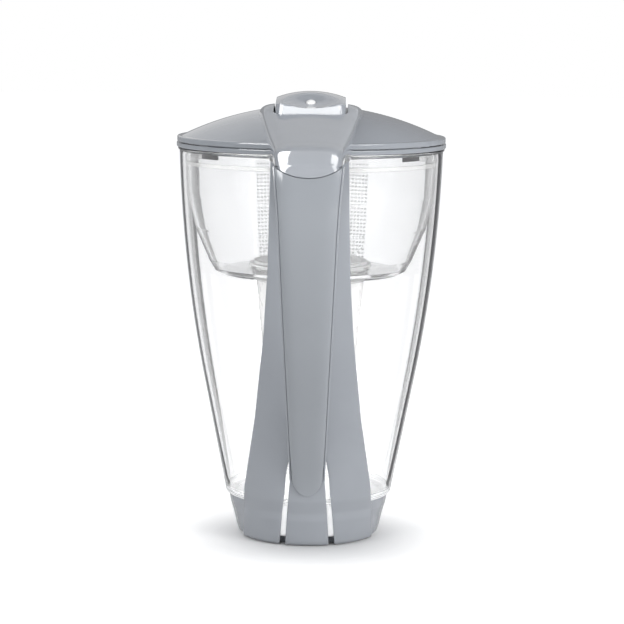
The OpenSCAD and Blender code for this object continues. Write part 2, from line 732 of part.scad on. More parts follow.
module fill_flap() {
  color("slategray") difference() {
    union() {
      difference() {
        intersection() {
          crown(crown_radius);
          union() {
            intersection() {
              drum(drum_radius, flap_half, drum_corner);
              translate([-40, -90, 249.5]) cube([80, 90 - 30, 40]);
            }
            difference() {
              translate([0, 0, 240]) linear_extrude(40) flap_plan(flap_half, 13);
              translate([0, 0, dome_z]) sphere(r = dome_radius + 0.4, $fn = 180);
            }
          }
        }
        difference() {
          intersection() {
            crown(crown_radius - flap_wall);
            union() {
              drum(drum_radius - 2, flap_half - 2, drum_corner - 2);
              translate([0, 0, 230]) linear_extrude(50) flap_plan(flap_half - 2, 13);
            }
          }
          dish(flap_wall);
        }
        dish(0);
      }
      for (s = [-1, 1]) translate([s < 0 ? -flap_half + 0.5 : 13, -hinge_back, hinge_z])
        rotate([0, 90, 0]) cylinder(h = flap_half - 13.5, r = 4);
      at_lens() translate([0, 0, -7]) cylinder(h = 5.8, r = 7.8);
    }
    at_lens() translate([0, 0, -9]) cylinder(h = 6.4, r = 6.5);
    at_lens() translate([0, 0, -4]) cylinder(h = 8, r = lens_radius + gap);
    translate([-40, -hinge_back, hinge_z]) rotate([0, 90, 0])
      cylinder(h = 80, r = pin_radius + run);
  }
}

module flap_seal() {
  color("gainsboro") difference() {
    intersection() {
      crown(crown_radius - flap_wall - bond);
      translate([0, 0, 250]) linear_extrude(20) fill_plan(fill_half + 2.2);
    }
    translate([0, 0, 240]) linear_extrude(40) fill_plan(fill_half + 0.6);
    translate([0, 0, dome_z]) sphere(r = dome_radius + gap + bond, $fn = 180);
  }
}

module flap_pin(s) {
  translate([s < 0 ? -26 : 14, -hinge_back, hinge_z]) rotate([0, 90, 0])
    cylinder(h = 12, r = pin_radius);
}

module flap_pin_left() {
  color("silver") flap_pin(-1);
}

module flap_pin_right() {
  color("silver") flap_pin(1);
}

module indicator_lens() {
  color("white") at_lens() difference() {
    union() {
      translate([0, 0, -1.6]) cylinder(h = 1.9, r = lens_radius);
      intersection() {
        translate([0, 0, 0.3 + lens_rise - lens_ball]) sphere(r = lens_ball);
        cylinder(h = 3, r = lens_radius);
      }
    }
    translate([0, 0, -3]) cylinder(h = 1.8, r = 1.2);
  }
}

module indicator_module() {
  color("ivory") at_lens() difference() {
    translate([0, 0, -8.2]) cylinder(h = 5.4, r = 6.4);
    translate([0, 0, -9]) cylinder(h = 3.5, r = 5.1);
  }
}

module coin_cell() {
  color("silver") at_lens() translate([0, 0, -8.1]) cylinder(h = 2.5, r = 5);
}

glass_jug();
base_shell();
foot_pad();
rear_spine();
top_collar();
handle_frame();
grip_cover();
hopper();
hopper_seal();
hopper_lug_left();
hopper_lug_right();
spout_screen();
cartridge_shell();
cartridge_cap();
cartridge_seal();
filter_media();
cartridge_mesh();
lid_shell();
lid_hood();
lid_seal();
fill_flap();
flap_seal();
flap_pin_left();
flap_pin_right();
indicator_lens();
indicator_module();
coin_cell();
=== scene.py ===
# The water filter pitcher dressed for its picture, in metres, in the frame of the solids.
import json
import math

import bmesh
import bpy
from mathutils import Matrix, Vector


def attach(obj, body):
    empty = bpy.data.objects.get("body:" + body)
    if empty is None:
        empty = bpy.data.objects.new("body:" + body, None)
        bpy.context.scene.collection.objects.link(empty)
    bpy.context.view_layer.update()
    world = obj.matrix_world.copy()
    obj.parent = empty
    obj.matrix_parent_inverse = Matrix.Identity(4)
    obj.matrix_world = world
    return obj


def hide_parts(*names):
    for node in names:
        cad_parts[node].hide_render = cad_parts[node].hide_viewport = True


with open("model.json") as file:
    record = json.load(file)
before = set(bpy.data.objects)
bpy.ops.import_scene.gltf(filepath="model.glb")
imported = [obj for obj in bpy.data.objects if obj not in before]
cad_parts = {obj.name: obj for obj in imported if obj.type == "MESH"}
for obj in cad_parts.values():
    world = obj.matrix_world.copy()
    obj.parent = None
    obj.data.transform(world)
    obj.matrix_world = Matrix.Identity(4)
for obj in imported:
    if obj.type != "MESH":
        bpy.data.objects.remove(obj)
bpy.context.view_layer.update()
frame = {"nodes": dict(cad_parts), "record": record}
scene = bpy.context.scene
MM = 0.001


# ---------------------------------------------------------------- materials
def shader(name):
    """A new node material: its nodes, links and Principled shader."""
    m = bpy.data.materials.new(name)
    m.use_nodes = True
    nodes = m.node_tree.nodes
    return m, nodes, m.node_tree.links, nodes["Principled BSDF"]


def noise(nodes, links, scale, detail=3.0, rough=0.5, stretch=(1, 1, 1)):
    """Noise over the object's own coordinates."""
    coord = nodes.new("ShaderNodeTexCoord")
    mapping = nodes.new("ShaderNodeMapping")
    mapping.inputs["Scale"].default_value = stretch
    tex = nodes.new("ShaderNodeTexNoise")
    tex.inputs["Scale"].default_value = scale
    tex.inputs["Detail"].default_value = detail
    tex.inputs["Roughness"].default_value = rough
    links.new(coord.outputs["Object"], mapping.inputs["Vector"])
    links.new(mapping.outputs["Vector"], tex.inputs["Vector"])
    return tex.outputs["Fac"]


def ramp(nodes, links, fac, stops):
    """A colour ramp; stops are (place, (r, g, b))."""
    r = nodes.new("ShaderNodeValToRGB")
    while len(r.color_ramp.elements) < len(stops):
        r.color_ramp.elements.new(0.5)
    for e, (at, c) in zip(r.color_ramp.elements, stops):
        e.position = at
        e.color = (*c, 1)
    links.new(fac, r.inputs["Fac"])
    return r.outputs["Color"]


def spread(nodes, links, fac, low, high, start=0.35, end=0.65):
    """Noise turned into a number from low to high."""
    r = nodes.new("ShaderNodeMapRange")
    r.inputs["From Min"].default_value = start
    r.inputs["From Max"].default_value = end
    r.inputs["To Min"].default_value = low
    r.inputs["To Max"].default_value = high
    links.new(fac, r.inputs["Value"])
    return r.outputs["Result"]


def bump(nodes, links, bsdf, fac, strength, distance):
    """A bump of the surface from noise."""
    b = nodes.new("ShaderNodeBump")
    b.inputs["Strength"].default_value = strength
    b.inputs["Distance"].default_value = distance
    links.new(fac, b.inputs["Height"])
    links.new(b.outputs["Normal"], bsdf.inputs["Normal"])


TONE_STOPS = (0.3, 0.7)
PEEL = 0.00002
COAT_ROUGH = 0.04


def tone(nodes, links, bsdf, fac, dark, light):
    """Colour that drifts between two tones with a noise."""
    stops = list(zip(TONE_STOPS, (dark, light)))
    links.new(ramp(nodes, links, fac, stops), bsdf.inputs["Base Color"])


def plastic(name, base, rough=(0.1, 0.16), vary=0.05, grain=900.0, deep=PEEL, coat=0.0, ior=1.5):
    """Moulded plastic: slow drift of tone, fine polish marks and an orange-peel bump."""
    m, nodes, links, bsdf = shader(name)
    dark = tuple(c * (1 - vary) for c in base)
    light = tuple(min(1, c * (1 + vary)) for c in base)
    tone(nodes, links, bsdf, noise(nodes, links, 22.0), dark, light)
    links.new(spread(nodes, links, noise(nodes, links, 140.0, 4.0), *rough), bsdf.inputs["Roughness"])
    bump(nodes, links, bsdf, noise(nodes, links, grain, 2.0), 0.12, deep)
    bsdf.inputs["IOR"].default_value = ior
    bsdf.inputs["Coat Weight"].default_value = coat
    bsdf.inputs["Coat Roughness"].default_value = COAT_ROUGH
    return m


def see_through(name, base, transmission, rough, ior=1.5, grain=700.0, strength=0.05, alpha=1.0):
    """Clear or milky stuff that light goes through."""
    m, nodes, links, bsdf = shader(name)
    dark = tuple(c * 0.985 for c in base)
    tone(nodes, links, bsdf, noise(nodes, links, 30.0), dark, base)
    links.new(spread(nodes, links, noise(nodes, links, 90.0), *rough), bsdf.inputs["Roughness"])
    bump(nodes, links, bsdf, noise(nodes, links, grain, 2.0), strength, PEEL)
    bsdf.inputs["Transmission Weight"].default_value = transmission
    bsdf.inputs["IOR"].default_value = ior
    bsdf.inputs["Alpha"].default_value = alpha
    return m


def metal(name, base, rough=(0.2, 0.3)):
    """Drawn metal with lines along it."""
    m, nodes, links, bsdf = shader(name)
    dark = tuple(c * 0.93 for c in base)
    lines = noise(nodes, links, 60.0, 5.0, 0.6, (1, 1, 30))
    tone(nodes, links, bsdf, lines, dark, base)
    links.new(spread(nodes, links, lines, *rough), bsdf.inputs["Roughness"])
    bsdf.inputs["Metallic"].default_value = 1.0
    return m


def grain(name, tones, scale, rough, strength, distance):
    """Loose or woven stuff: cells of several tones and a deep bump."""
    m, nodes, links, bsdf = shader(name)
    coord = nodes.new("ShaderNodeTexCoord")
    cells = nodes.new("ShaderNodeTexVoronoi")
    cells.inputs["Scale"].default_value = scale
    links.new(coord.outputs["Object"], cells.inputs["Vector"])
    pick = nodes.new("ShaderNodeSeparateColor")
    links.new(cells.outputs["Color"], pick.inputs["Color"])
    step = 1 / max(1, len(tones) - 1)
    stops = [(i * step, c) for i, c in enumerate(tones)]
    links.new(ramp(nodes, links, pick.outputs["Red"], stops), bsdf.inputs["Base Color"])
    bsdf.inputs["Roughness"].default_value = rough
    bump(nodes, links, bsdf, cells.outputs["Distance"], strength, distance)
    return m


SLATE = (0.345, 0.365, 0.395)
MATERIALS = {
    "slate_plastic": plastic("slate_plastic", SLATE, (0.07, 0.11), 0.03, coat=1.0, ior=1.55),
    "grip_plastic": plastic("grip_plastic", (0.345, 0.365, 0.39), (0.14, 0.17), 0.02, coat=0.4),
    "clear_glass": see_through("clear_glass", (1.0, 1.0, 1.0), 1.0, (0.0, 0.01)),
    "frosted_plastic": see_through("frosted_plastic", (0.965, 0.967, 0.97), 0.94, (0.0, 0.02), 1.12),
    "screen_plastic": see_through("screen_plastic", (0.99, 0.99, 0.99), 0.97, (0.0, 0.02), 1.05, alpha=0.5),
    # painted shade: the walls of the screen's holes get this darker grey to stand for the shade inside them
    "screen_bore_painted_shade": plastic("screen_bore_painted_shade", (0.2, 0.2, 0.205), (0.4, 0.5), 0.1),
    "glass_foot": see_through("glass_foot", (0.97, 0.975, 0.98), 0.15, (0.4, 0.5)),
    "foot_rubber": plastic("foot_rubber", (0.6, 0.6, 0.6), (0.6, 0.75), 0.05, 1500.0, 0.0001),
    "grey_silicone": plastic("grey_silicone", (0.05, 0.052, 0.055), (0.4, 0.5), 0.05),
    "dark_plastic": plastic("dark_plastic", (0.012, 0.012, 0.013), (0.3, 0.4), 0.1),
    "white_plastic": plastic("white_plastic", (0.7, 0.7, 0.695), (0.25, 0.35), 0.02),
    "pale_silicone": see_through("pale_silicone", (0.93, 0.93, 0.92), 0.85, (0.15, 0.2), 1.1),
    "filter_grain": grain("filter_grain", [(0.01, 0.01, 0.01), (0.03, 0.03, 0.03), (0.6, 0.55, 0.4)],
                          900.0, 0.7, 0.9, 0.0004),
    "pale_mesh": grain("pale_mesh", [(0.6, 0.6, 0.58), (0.72, 0.72, 0.7)], 1400.0, 0.6, 0.6, 0.0002),
    "pin_steel": metal("pin_steel", (0.62, 0.62, 0.63)),
    "lens_plastic": plastic("lens_plastic", (0.9, 0.9, 0.89), (0.12, 0.2), 0.01),
    "module_plastic": plastic("module_plastic", (0.68, 0.66, 0.6), (0.4, 0.5), 0.03),
    "cell_steel": metal("cell_steel", (0.66, 0.66, 0.67), (0.15, 0.25)),
}
SLOT_OF = {s["node"]: s["material_slot"] for s in frame["record"]["subparts"]}
for node_name, obj in frame["nodes"].items():
    obj.data.materials.clear()
    obj.data.materials.append(MATERIALS[SLOT_OF[node_name]])


# ---------------------------------------------------------------- mesh tools, in millimetres
def add_object(name, data):
    """A new object in the scene."""
    obj = bpy.data.objects.new(name, data)
    scene.collection.objects.link(obj)
    return obj


def finish_mesh(b, name):
    """Turns a bmesh into an object of its own."""
    mesh = bpy.data.meshes.new(name)
    b.to_mesh(mesh)
    b.free()
    return add_object(name, mesh)


def closed(name, verts, faces, weld, flat=0.0):
    """A piece from points in millimetres: near points joined, flat faces taken out, normals outward."""
    mesh = bpy.data.meshes.new(name)
    mesh.from_pydata([tuple(c * MM for c in v) for v in verts], [], faces)
    b = bmesh.new()
    b.from_mesh(mesh)
    bmesh.ops.remove_doubles(b, verts=b.verts, dist=weld * MM)
    if flat:
        bmesh.ops.dissolve_degenerate(b, dist=flat * MM, edges=b.edges)
    bmesh.ops.recalc_face_normals(b, faces=b.faces)
    b.to_mesh(mesh)
    b.free()
    return add_object(name, mesh)


def make(name, verts, faces, slot, body, nodes=(), sharp=32.0):
    """A smooth piece from points in millimetres, riding on a body and standing for its nodes."""
    return dress(closed(name, verts, faces, 0.001, 0.0005), slot, body, nodes, sharp)


def dress(obj, slot, body, nodes=(), sharp=32.0):
    """Smooth shading, its material, its body and the nodes it stands for."""
    mesh = obj.data
    mesh.polygons.foreach_set("use_smooth", [True] * len(mesh.polygons))
    mesh.set_sharp_from_angle(angle=math.radians(sharp))
    mesh.materials.clear()
    mesh.materials.append(MATERIALS[slot])
    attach(obj, body)
    if nodes:
        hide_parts(*nodes)
    return obj


def loft(rings, close=True, caps=(True, True)):
    """Faces between rings of equal count, with flat ends."""
    n = len(rings[0])
    verts = [p for ring in rings for p in ring]
    faces = []
    for i in range(len(rings) - 1):
        for j in range(n if close else n - 1):
            k = (j + 1) % n
            faces.append((i * n + j, i * n + k, (i + 1) * n + k, (i + 1) * n + j))
    if caps[0]:
        faces.append(tuple(reversed(range(n))))
    if caps[1]:
        faces.append(tuple(range((len(rings) - 1) * n, len(rings) * n)))
    return verts, faces


def wheel(rings):
    """Like loft, with the last ring joined to the first."""
    n = len(rings[0])
    m = len(rings)
    verts = [p for ring in rings for p in ring]
    return verts, [(i * n + j, i * n + (j + 1) % n, (i + 1) % m * n + (j + 1) % n, (i + 1) % m * n + j)
                   for i in range(m) for j in range(n)]


def rounded(poly, radius, steps=4):
    """A closed outline with its corners rounded; radius is one number or one per corner."""
    out = []
    n = len(poly)
    for i in range(n):
        r = radius[i] if isinstance(radius, (list, tuple)) else radius
        a, b, c = (Vector(poly[k % n]).to_2d() for k in (i - 1, i, i + 1))
        u, v = (a - b), (c - b)
        reach = 0.48 * min(u.length, v.length)
        u.normalize()
        v.normalize()
        corner = u.angle(v)
        if r <= 0 or corner > math.radians(176):
            out.append(tuple(b))
            continue
        d = min(r / math.tan(corner / 2), reach)
        r = d * math.tan(corner / 2)
        mid = b + (u + v).normalized() * (r / math.sin(corner / 2))
        start, end = b + u * d - mid, b + v * d - mid
        whole = start.angle(end)
        for k in range(steps + 1):
            t = k / steps
            w = (start * math.sin((1 - t) * whole) + end * math.sin(t * whole)) / math.sin(whole)
            out.append(tuple(mid + w))
    return out


def table(line, x):
    """Straight-line reading of a list of (x, y)."""
    if x <= line[0][0]:
        return line[0][1]
    for (a, fa), (b, fb) in zip(line, line[1:]):
        if x <= b:
            return fa + (fb - fa) * (x - a) / (b - a)
    return line[-1][1]


def steps(a, b, n):
    """n equal steps from a to b, both ends included."""
    return [a + (b - a) * i / n for i in range(n + 1)]


def around(n):
    """n even angles round a circle."""
    return [2 * math.pi * i / n for i in range(n)]


def upright(x, z, y):
    """Place for a prism whose outline is in X and Z and which runs along Y."""
    return (x, y, z)


def smooth_max(a, b, k):
    """The larger of two numbers, with the change-over eased over k."""
    h = min(1.0, max(0.0, 0.5 + 0.5 * (b - a) / k))
    return a * (1 - h) + b * h + k * h * (1 - h)


# ---------------------------------------------------------------- the jug's shape
JUG_LOW_R, JUG_LOW_Z, JUG_SLOPE = 49.7, 25.2, 0.196
JUG_TURN_Z, JUG_ARC, JUG_RIM_Z, JUG_WALL = 95.0, 830.0, 234.0, 3.0
TURN_R = JUG_LOW_R + JUG_SLOPE * (JUG_TURN_Z - JUG_LOW_Z)
ARC_X = TURN_R - JUG_ARC * math.cos(math.atan(JUG_SLOPE))
ARC_Z = JUG_TURN_Z + JUG_ARC * math.sin(math.atan(JUG_SLOPE))
CUP_LINE = [(0.4, 40.2), (2, 42.3), (6, 43.6), (12.8, 45.2), (18.8, 47), (25.2, 48.3)]
BOND = 0.1
LIP_OUT, LIP_R, BEAD = 72.5, 17.0, 0.9
LIP_FOOT_Z, LIP_FOOT_Y, LIP_FOOT_R = 186.0, 62.0, 10.0
CONE_SIDE = 0.87
FROST_TOP, HOLLOW_TOP = 29.0, 24.4


def jug_r(z):
    """Radius of the glass: a straight taper, then an arc up to the rim."""
    if z < JUG_TURN_Z:
        return JUG_LOW_R + JUG_SLOPE * (z - JUG_LOW_Z)
    return ARC_X + math.sqrt(JUG_ARC ** 2 - (z - ARC_Z) ** 2)


SKIN_LINE = [(0.4, 42.6), (2, 44.6), (6, 46.1), (16.4, 49.3), (21.3, 49.9), (28.6, 52.75), (32, 53.4)]


def skin_r(z):
    """Radius of the spine's outer face: it leans in below the jug, stands upright and leans in again."""
    t = min(1.0, max(0.0, (z - 29.0) / 3.0))
    return table(SKIN_LINE, z) * (1 - t) + (jug_r(z) + 2.4) * t


def core_r(z):
    """Radius of cup and jug together, with the step between them eased."""
    low, high = table(CUP_LINE, z), jug_r(z)
    t = min(1.0, max(0.0, (z - 24.4) / 1.6))
    t = t * t * (3 - 2 * t)
    return low * (1 - t) + high * t


def lip_reach(z, turn, inset):
    """Distance from the axis to the pouring lip's cone in the direction turn from +Y."""
    rise = (z - LIP_FOOT_Z) / (JUG_RIM_Z - LIP_FOOT_Z)
    y = LIP_FOOT_Y + (LIP_OUT - LIP_FOOT_Y) * rise
    r = LIP_FOOT_R + (LIP_R - LIP_FOOT_R) * rise - inset * CONE_SIDE
    side = y * math.sin(turn)
    if r <= 0 or math.cos(turn) < 0 or abs(side) >= r:
        return 0.0
    return y * math.cos(turn) + math.sqrt(r * r - side * side)


def wall_r(z, turn, inset):
    """Radius of the wall with the lip run into it."""
    base = jug_r(z) - inset
    return smooth_max(base, lip_reach(z, turn, inset), 4.0) if z > 170 else base


def glass():
    """The jug with ribbed foot line, rounded rim and pouring lip."""
    rib_high, rib_pitch = 0.08, 0.95
    foot = [(39.5, 4.5), (41.5, 6.0), (43.1, 12.8), (44.9, 18.8), (46.2, 25.3), (49.0, 25.3), (49.75, 25.9)]
    outer = [(z, 0.0) for z in steps(26.2, 30.0, 38)] + [(z, 0.0) for z in steps(31.0, 231.5, 50)]
    outer += [(z, 0.0) for z in (231.8, 232.0)]
    mid, edge, right = JUG_RIM_Z - BEAD, 0.5, 0.5 * math.pi
    rim = [(mid - BEAD * math.cos(a), -BEAD * math.sin(a)) for a in steps(0.15, right, 8)]
    rim += [(mid + BEAD * math.sin(a), -BEAD * math.cos(a)) for a in steps(0, right, 8)[1:]]
    rim += [(JUG_RIM_Z - edge + edge * math.cos(a), JUG_WALL - edge + edge * math.sin(a))
            for a in steps(0, right, 5)]
    inner = [(z, JUG_WALL) for z in steps(230.0, 36.0, 40)]
    hollow = [(47.9, 31.0), (47.3, 29.0), (46.3, 27.2), (44.0, HOLLOW_TOP), (42.0, 20.0), (39.6, 16.0),
              (36.5, 13.2), (33.0, 12.0), (20.0, 12.0)]
    rings = []
    turns = around(288)

    def ring(radius, z):
        rings.append([(radius(a) * math.sin(a), radius(a) * math.cos(a), z) for a in turns])

    for r, z in foot:
        ring(lambda a, r=r: r, z)
    for z, inset in outer + rim + inner:
        rib = rib_high * math.sin((z - 26.2) / rib_pitch * 2 * math.pi) if z < 30.0 and inset == 0 else 0.0
        ring(lambda a, z=z, i=inset - rib: wall_r(z, a, i), z)
    for r, z in hollow:
        ring(lambda a, r=r: r, z)
    return loft(rings)


def frosted(poly):
    """True for the outer faces that the cup holds and for the floor of the hollow."""
    z = poly.center.z / MM
    outside = 5.0 < z < FROST_TOP and poly.center.xy.length > 40.0 * MM and poly.normal.z < 0.1
    return outside or z < HOLLOW_TOP and poly.normal.z > 0.3


jug_glass = make("jug_glass", *glass(), "clear_glass", "jug", ["glass_jug"], 60)
jug_glass.visible_shadow = False
jug_glass.data.materials.append(MATERIALS["glass_foot"])
for face in jug_glass.data.polygons:
    if frosted(face):
        face.material_index = 1

# ---------------------------------------------------------------- spine
SPINE_HALF = [(0, 38.6), (14, 38.4), (35, 37.4), (79, 31), (127, 26.2), (163, 23.9), (189, 23.1),
              (231.5, 22.2)]
FORK_HALF = [(0, 16.3), (21.5, 14.7), (33, 13.3), (44.4, 12.5), (56, 10.6), (66, 8), (74, 0)]
SPINE_EDGE = 0.7


def spine_ring(z, side):
    """Section of one half of the spine: out along the outer face and back along the inner."""
    near = max(0.0, table(FORK_HALF, z))
    far = table(SPINE_HALF, z)
    low, high = min(core_r(z) + BOND, skin_r(z) - 1.2), skin_r(z)
    edge, slant = min(SPINE_EDGE, near), 0.4
    pts = [(near, low), (near, high - edge), (near + 0.29 * edge, high - 0.29 * edge), (near + edge, high)]
    pts += [(near + edge + (far - SPINE_EDGE - near - edge) * i / 20, high) for i in range(1, 20)]
    pts += [(far - SPINE_EDGE, high), (far - 0.43, high - 0.05), (far - 0.2, high - 0.2),
            (far - 0.05, high - 0.43), (far, high - SPINE_EDGE), (far, low + slant), (far - slant, low)]
    pts += [(far - slant - (far - slant - near) * i / 12, low) for i in range(1, 12)]
    return [(side * x, -math.sqrt(max(0.0, r * r - x * x)), z) for x, r in pts]


def spine():
    """Both halves of the spine, joined above the slits, without the faces that would lie between them."""
    zs = [0.4, 0.6, 1.0, 1.5] + steps(2.0, 24.0, 22) + steps(24.4, 26.0, 6) + steps(27.0, 66.0, 26)
    zs += [68, 70, 71, 72, 73, 73.6, 74, 75, 77, 80] + steps(84.0, 228.0, 48) + [230, 231, 231.5]
    verts, faces = [], []
    for side in (-1, 1):
        v, f = loft([spine_ring(z, side) for z in zs])
        faces += [tuple(i + len(verts) for i in q) for q in f]
        verts += v
    return verts, [q for q in faces if sum(abs(verts[i][0]) for i in q) / len(q) > 1e-6]


make("spine_plate", *spine(), "slate_plastic", "jug", ["rear_spine"], 40)

# ---------------------------------------------------------------- handle
HANDLE = [(-136.4, 236), (-158, 165), (-60, 60), (-54.6, 30)]


def handle_at(t):
    """Point (y, z) and direction of the grip's back at t."""
    k = [(1 - t) ** 3, 3 * (1 - t) ** 2 * t, 3 * (1 - t) * t * t, t ** 3]
    p = [sum(k[i] * HANDLE[i][c] for i in range(4)) for c in (0, 1)]
    m = [(1 - t) ** 2, 2 * (1 - t) * t, t * t]
    d = [sum(m[i] * (HANDLE[i + 1][c] - HANDLE[i][c]) for i in range(3)) for c in (0, 1)]
    n = math.hypot(*d)
    return p, (d[0] / n, d[1] / n)


def grip_point(t, x, d):
    """Point x to the side and d below the grip's back at t."""
    p, w = handle_at(t)
    return (x, p[0] - d * w[1], p[1] + d * w[0])


def grip_half(z):
    """Half the grip's width at a height."""
    return 10.75 + 0.0413 * (z - 48) + 0.9 * max(0.0, (z - 192) / 34) ** 2


def back_depth(s, deep=8.0, power=3.5):
    """How far the grip's back has dropped at s, from 0 in the middle to 1 at the side."""
    return deep * (1 - (1 - min(abs(s), 1.0) ** power) ** (1 / power))


LIP, RECESS, GRIP_SIDE = 1.1, 4.4, 6
TIP_Z, TIP_LONG = 42.8, 10.3


def frame_section(t):
    """The grip's C-shaped section at t: round inner side, two lips and the recess between them."""
    w = grip_half(handle_at(t)[0][1])
    c = w - LIP
    h = 17.0 - 4.5 * t
    pts = [(-c, back_depth(c / w)), (-0.99 * w, back_depth(c / w) + 0.35)]
    pts += [(w * math.cos(math.radians(a)), GRIP_SIDE - (h - GRIP_SIDE) * math.sin(math.radians(a)))
            for a in range(180, 361, 6)]
    pts += [(0.99 * w, back_depth(c / w) + 0.35), (c, back_depth(c / w)), (c, RECESS), (-c, RECESS)]
    radii = [0.25, 0.5] + [0] * 31 + [0.5, 0.25, 0, 0]
    return [grip_point(t, x, d) for x, d in rounded(pts, radii, 3)]


def cover_section(t):
    """The cover's section at t: rolled edges, and a tip that narrows like an ellipse."""
    z = handle_at(t)[0][1]
    w = grip_half(z)
    c = w - LIP - BOND
    if z < TIP_Z:
        c *= math.sqrt(max(0.0004, 1 - ((TIP_Z - z) / TIP_LONG) ** 2))
    roll = 0.3 + 1.1 * max(0.0, min(1.0, (66 - z) / 20))
    top = []
    for i in range(41):
        s = math.sin((i / 20 - 1) * math.pi / 2)
        edge = max(0.0, (abs(s) * c - (c - roll)) / roll)
        top.append((s * c, back_depth(s * c / w) + roll * 0.9 * (1 - math.sqrt(max(0.0, 1 - edge * edge)))))
    low = RECESS - BOND
    return [grip_point(t, x, d) for x, d in top + [(0.7 * c, low), (0.0, low), (-0.7 * c, low)]]


def cover():
    """The cover from top to tip, with its sections closer together towards the tip."""
    rings = [cover_section(t) for t in steps(0.0, 0.84, 96) + steps(0.8435, 0.93, 20)]
    t = 0.93
    end = TIP_Z - TIP_LONG
    while handle_at(t)[0][1] > end + 0.04:
        t += 0.0004 + 0.004 * min(1.0, (handle_at(t)[0][1] - end) / TIP_LONG) ** 1.2
        rings.append(cover_section(t))
    return loft(rings)


def bake(obj):
    """Turns obj's modifiers into its mesh."""
    deps = bpy.context.evaluated_depsgraph_get()
    mesh = bpy.data.meshes.new_from_object(obj.evaluated_get(deps))
    obj.modifiers.clear()
    old = obj.data
    obj.data = mesh
    bpy.data.meshes.remove(old)


def cut(obj, *tools, mode="DIFFERENCE"):
    """Cuts, joins or meets obj with solids that are then thrown away."""
    for tool in tools:
        m = obj.modifiers.new("cut", "BOOLEAN")
        m.operation = mode
        m.solver = "EXACT"
        m.object = tool
    bake(obj)
    for tool in tools:
        bpy.data.objects.remove(tool)


def solid(verts, faces):
    """A bare closed solid to cut with or to cut, in millimetres."""
    return closed("solid", verts, faces, 0.0005)


def prism(outline, low, high, place=lambda x, y, z: (x, y, z)):
    """A straight solid over a flat outline from low to high."""
    return solid(*loft([[place(x, y, z) for x, y in outline] for z in (low, high)]))


def seam_solid(radius):
    """A bar along Y that cuts the curved seam below the hood."""
    outline = [(radius * math.cos(a), SEAM_Z + radius * math.sin(a)) for a in around(360)]
    return prism(outline, -160, -100, upright)


SEAM_Z, HOOD_SEAM_R, GRIP_SEAM_R = 225.8 + 32.0, 31.8, 32.2
frame_obj = solid(*loft([frame_section(t) for t in steps(0.0, 0.9, 116)]))
cut(frame_obj, prism([(-40, -170), (40, -170), (40, -100), (-40, -100)], 231.6, 260))
frame_obj.name = "grip_frame"
dress(frame_obj, "slate_plastic", "jug", ["handle_frame"], 40)
cover_obj = solid(*cover())
cut(cover_obj, seam_solid(GRIP_SEAM_R))
cover_obj.name = "grip_cover_shell"
dress(cover_obj, "grip_plastic", "jug", ["grip_cover"], 50)

# ---------------------------------------------------------------- tail and arm of the handle
TAIL_HALF = [(0.4, 12.9), (12, 12.3), (21.5, 11.7), (33, 10.9), (44, 10.1), (52, 9.6), (58, 9)]


def tail_ring(z, edge=0.6):
    """Section of the tail on the spine, between the two slits."""
    w = table(TAIL_HALF, z)
    high = skin_r(z) + 0.5
    low = table(CUP_LINE, z) - 2.0 if z < 25.2 else core_r(z) + BOND
    half = [(i * (w - edge) / 10, high) for i in range(11)]
    half += [(w - 0.62 * edge, high - 0.07 * edge), (w - 0.29 * edge, high - 0.29 * edge),
             (w - 0.07 * edge, high - 0.62 * edge), (w, high - edge), (w, low)]
    pts = half + [(w * (1 - i / 8), low) for i in range(1, 9)]
    pts += [(-x, r) for x, r in reversed(pts[1:-1])]
    return [(x, -math.sqrt(r * r - x * x), z) for x, r in pts]


tail_rings = [tail_ring(z) for z in steps(0.4, 24, 24) + steps(24.4, 26, 6) + steps(27, 58, 32)]
make("handle_tail", *loft(tail_rings), "slate_plastic", "jug", (), 40)


def arc(cx, cy, r, a, b, n):
    """Points on a circle from a to b degrees."""
    return [(cx + r * math.cos(t), cy + r * math.sin(t)) for t in map(math.radians, steps(a, b, n))]


def soft_prism(outline, half, edge, place, n=4):
    """A plate over an outline, from -half to half, with rounded long edges."""
    b = bmesh.new()
    sides = []
    for x in (-half, half):
        sides.append([b.verts.new([c * MM for c in place(x, *p)]) for p in outline])
    b.faces.new(sides[0])
    b.faces.new(list(reversed(sides[1])))
    m = len(outline)
    for i in range(m):
        b.faces.new([sides[0][i], sides[1][i], sides[1][(i + 1) % m], sides[0][(i + 1) % m]])
    bmesh.ops.recalc_face_normals(b, faces=b.faces)
    rims = [e for e in b.edges if len(e.link_faces) == 2 and max(len(f.verts) for f in e.link_faces) > 4]
    bmesh.ops.bevel(b, geom=rims, offset=edge * MM, segments=n, profile=0.5, affect="EDGES",
                    clamp_overlap=True)
    return finish_mesh(b, "plate")


ARM = [(-78.7, 187), (-78.7, 235.2), (-122, 235.2), (-132.4, 230), (-132.4, 199), (-125, 190.5),
       (-124, 203)]
ARM += arc(-111, 203, 13, 180, 90, 14)[1:] + arc(-97, 203, 13, 90, 0, 14) + [(-81.6, 187)]
arm = soft_prism(ARM, 13.0, 2.0, lambda x, y, z: (x, y, z))
arm.name = "handle_arm"
dress(arm, "slate_plastic", "jug", (), 35)


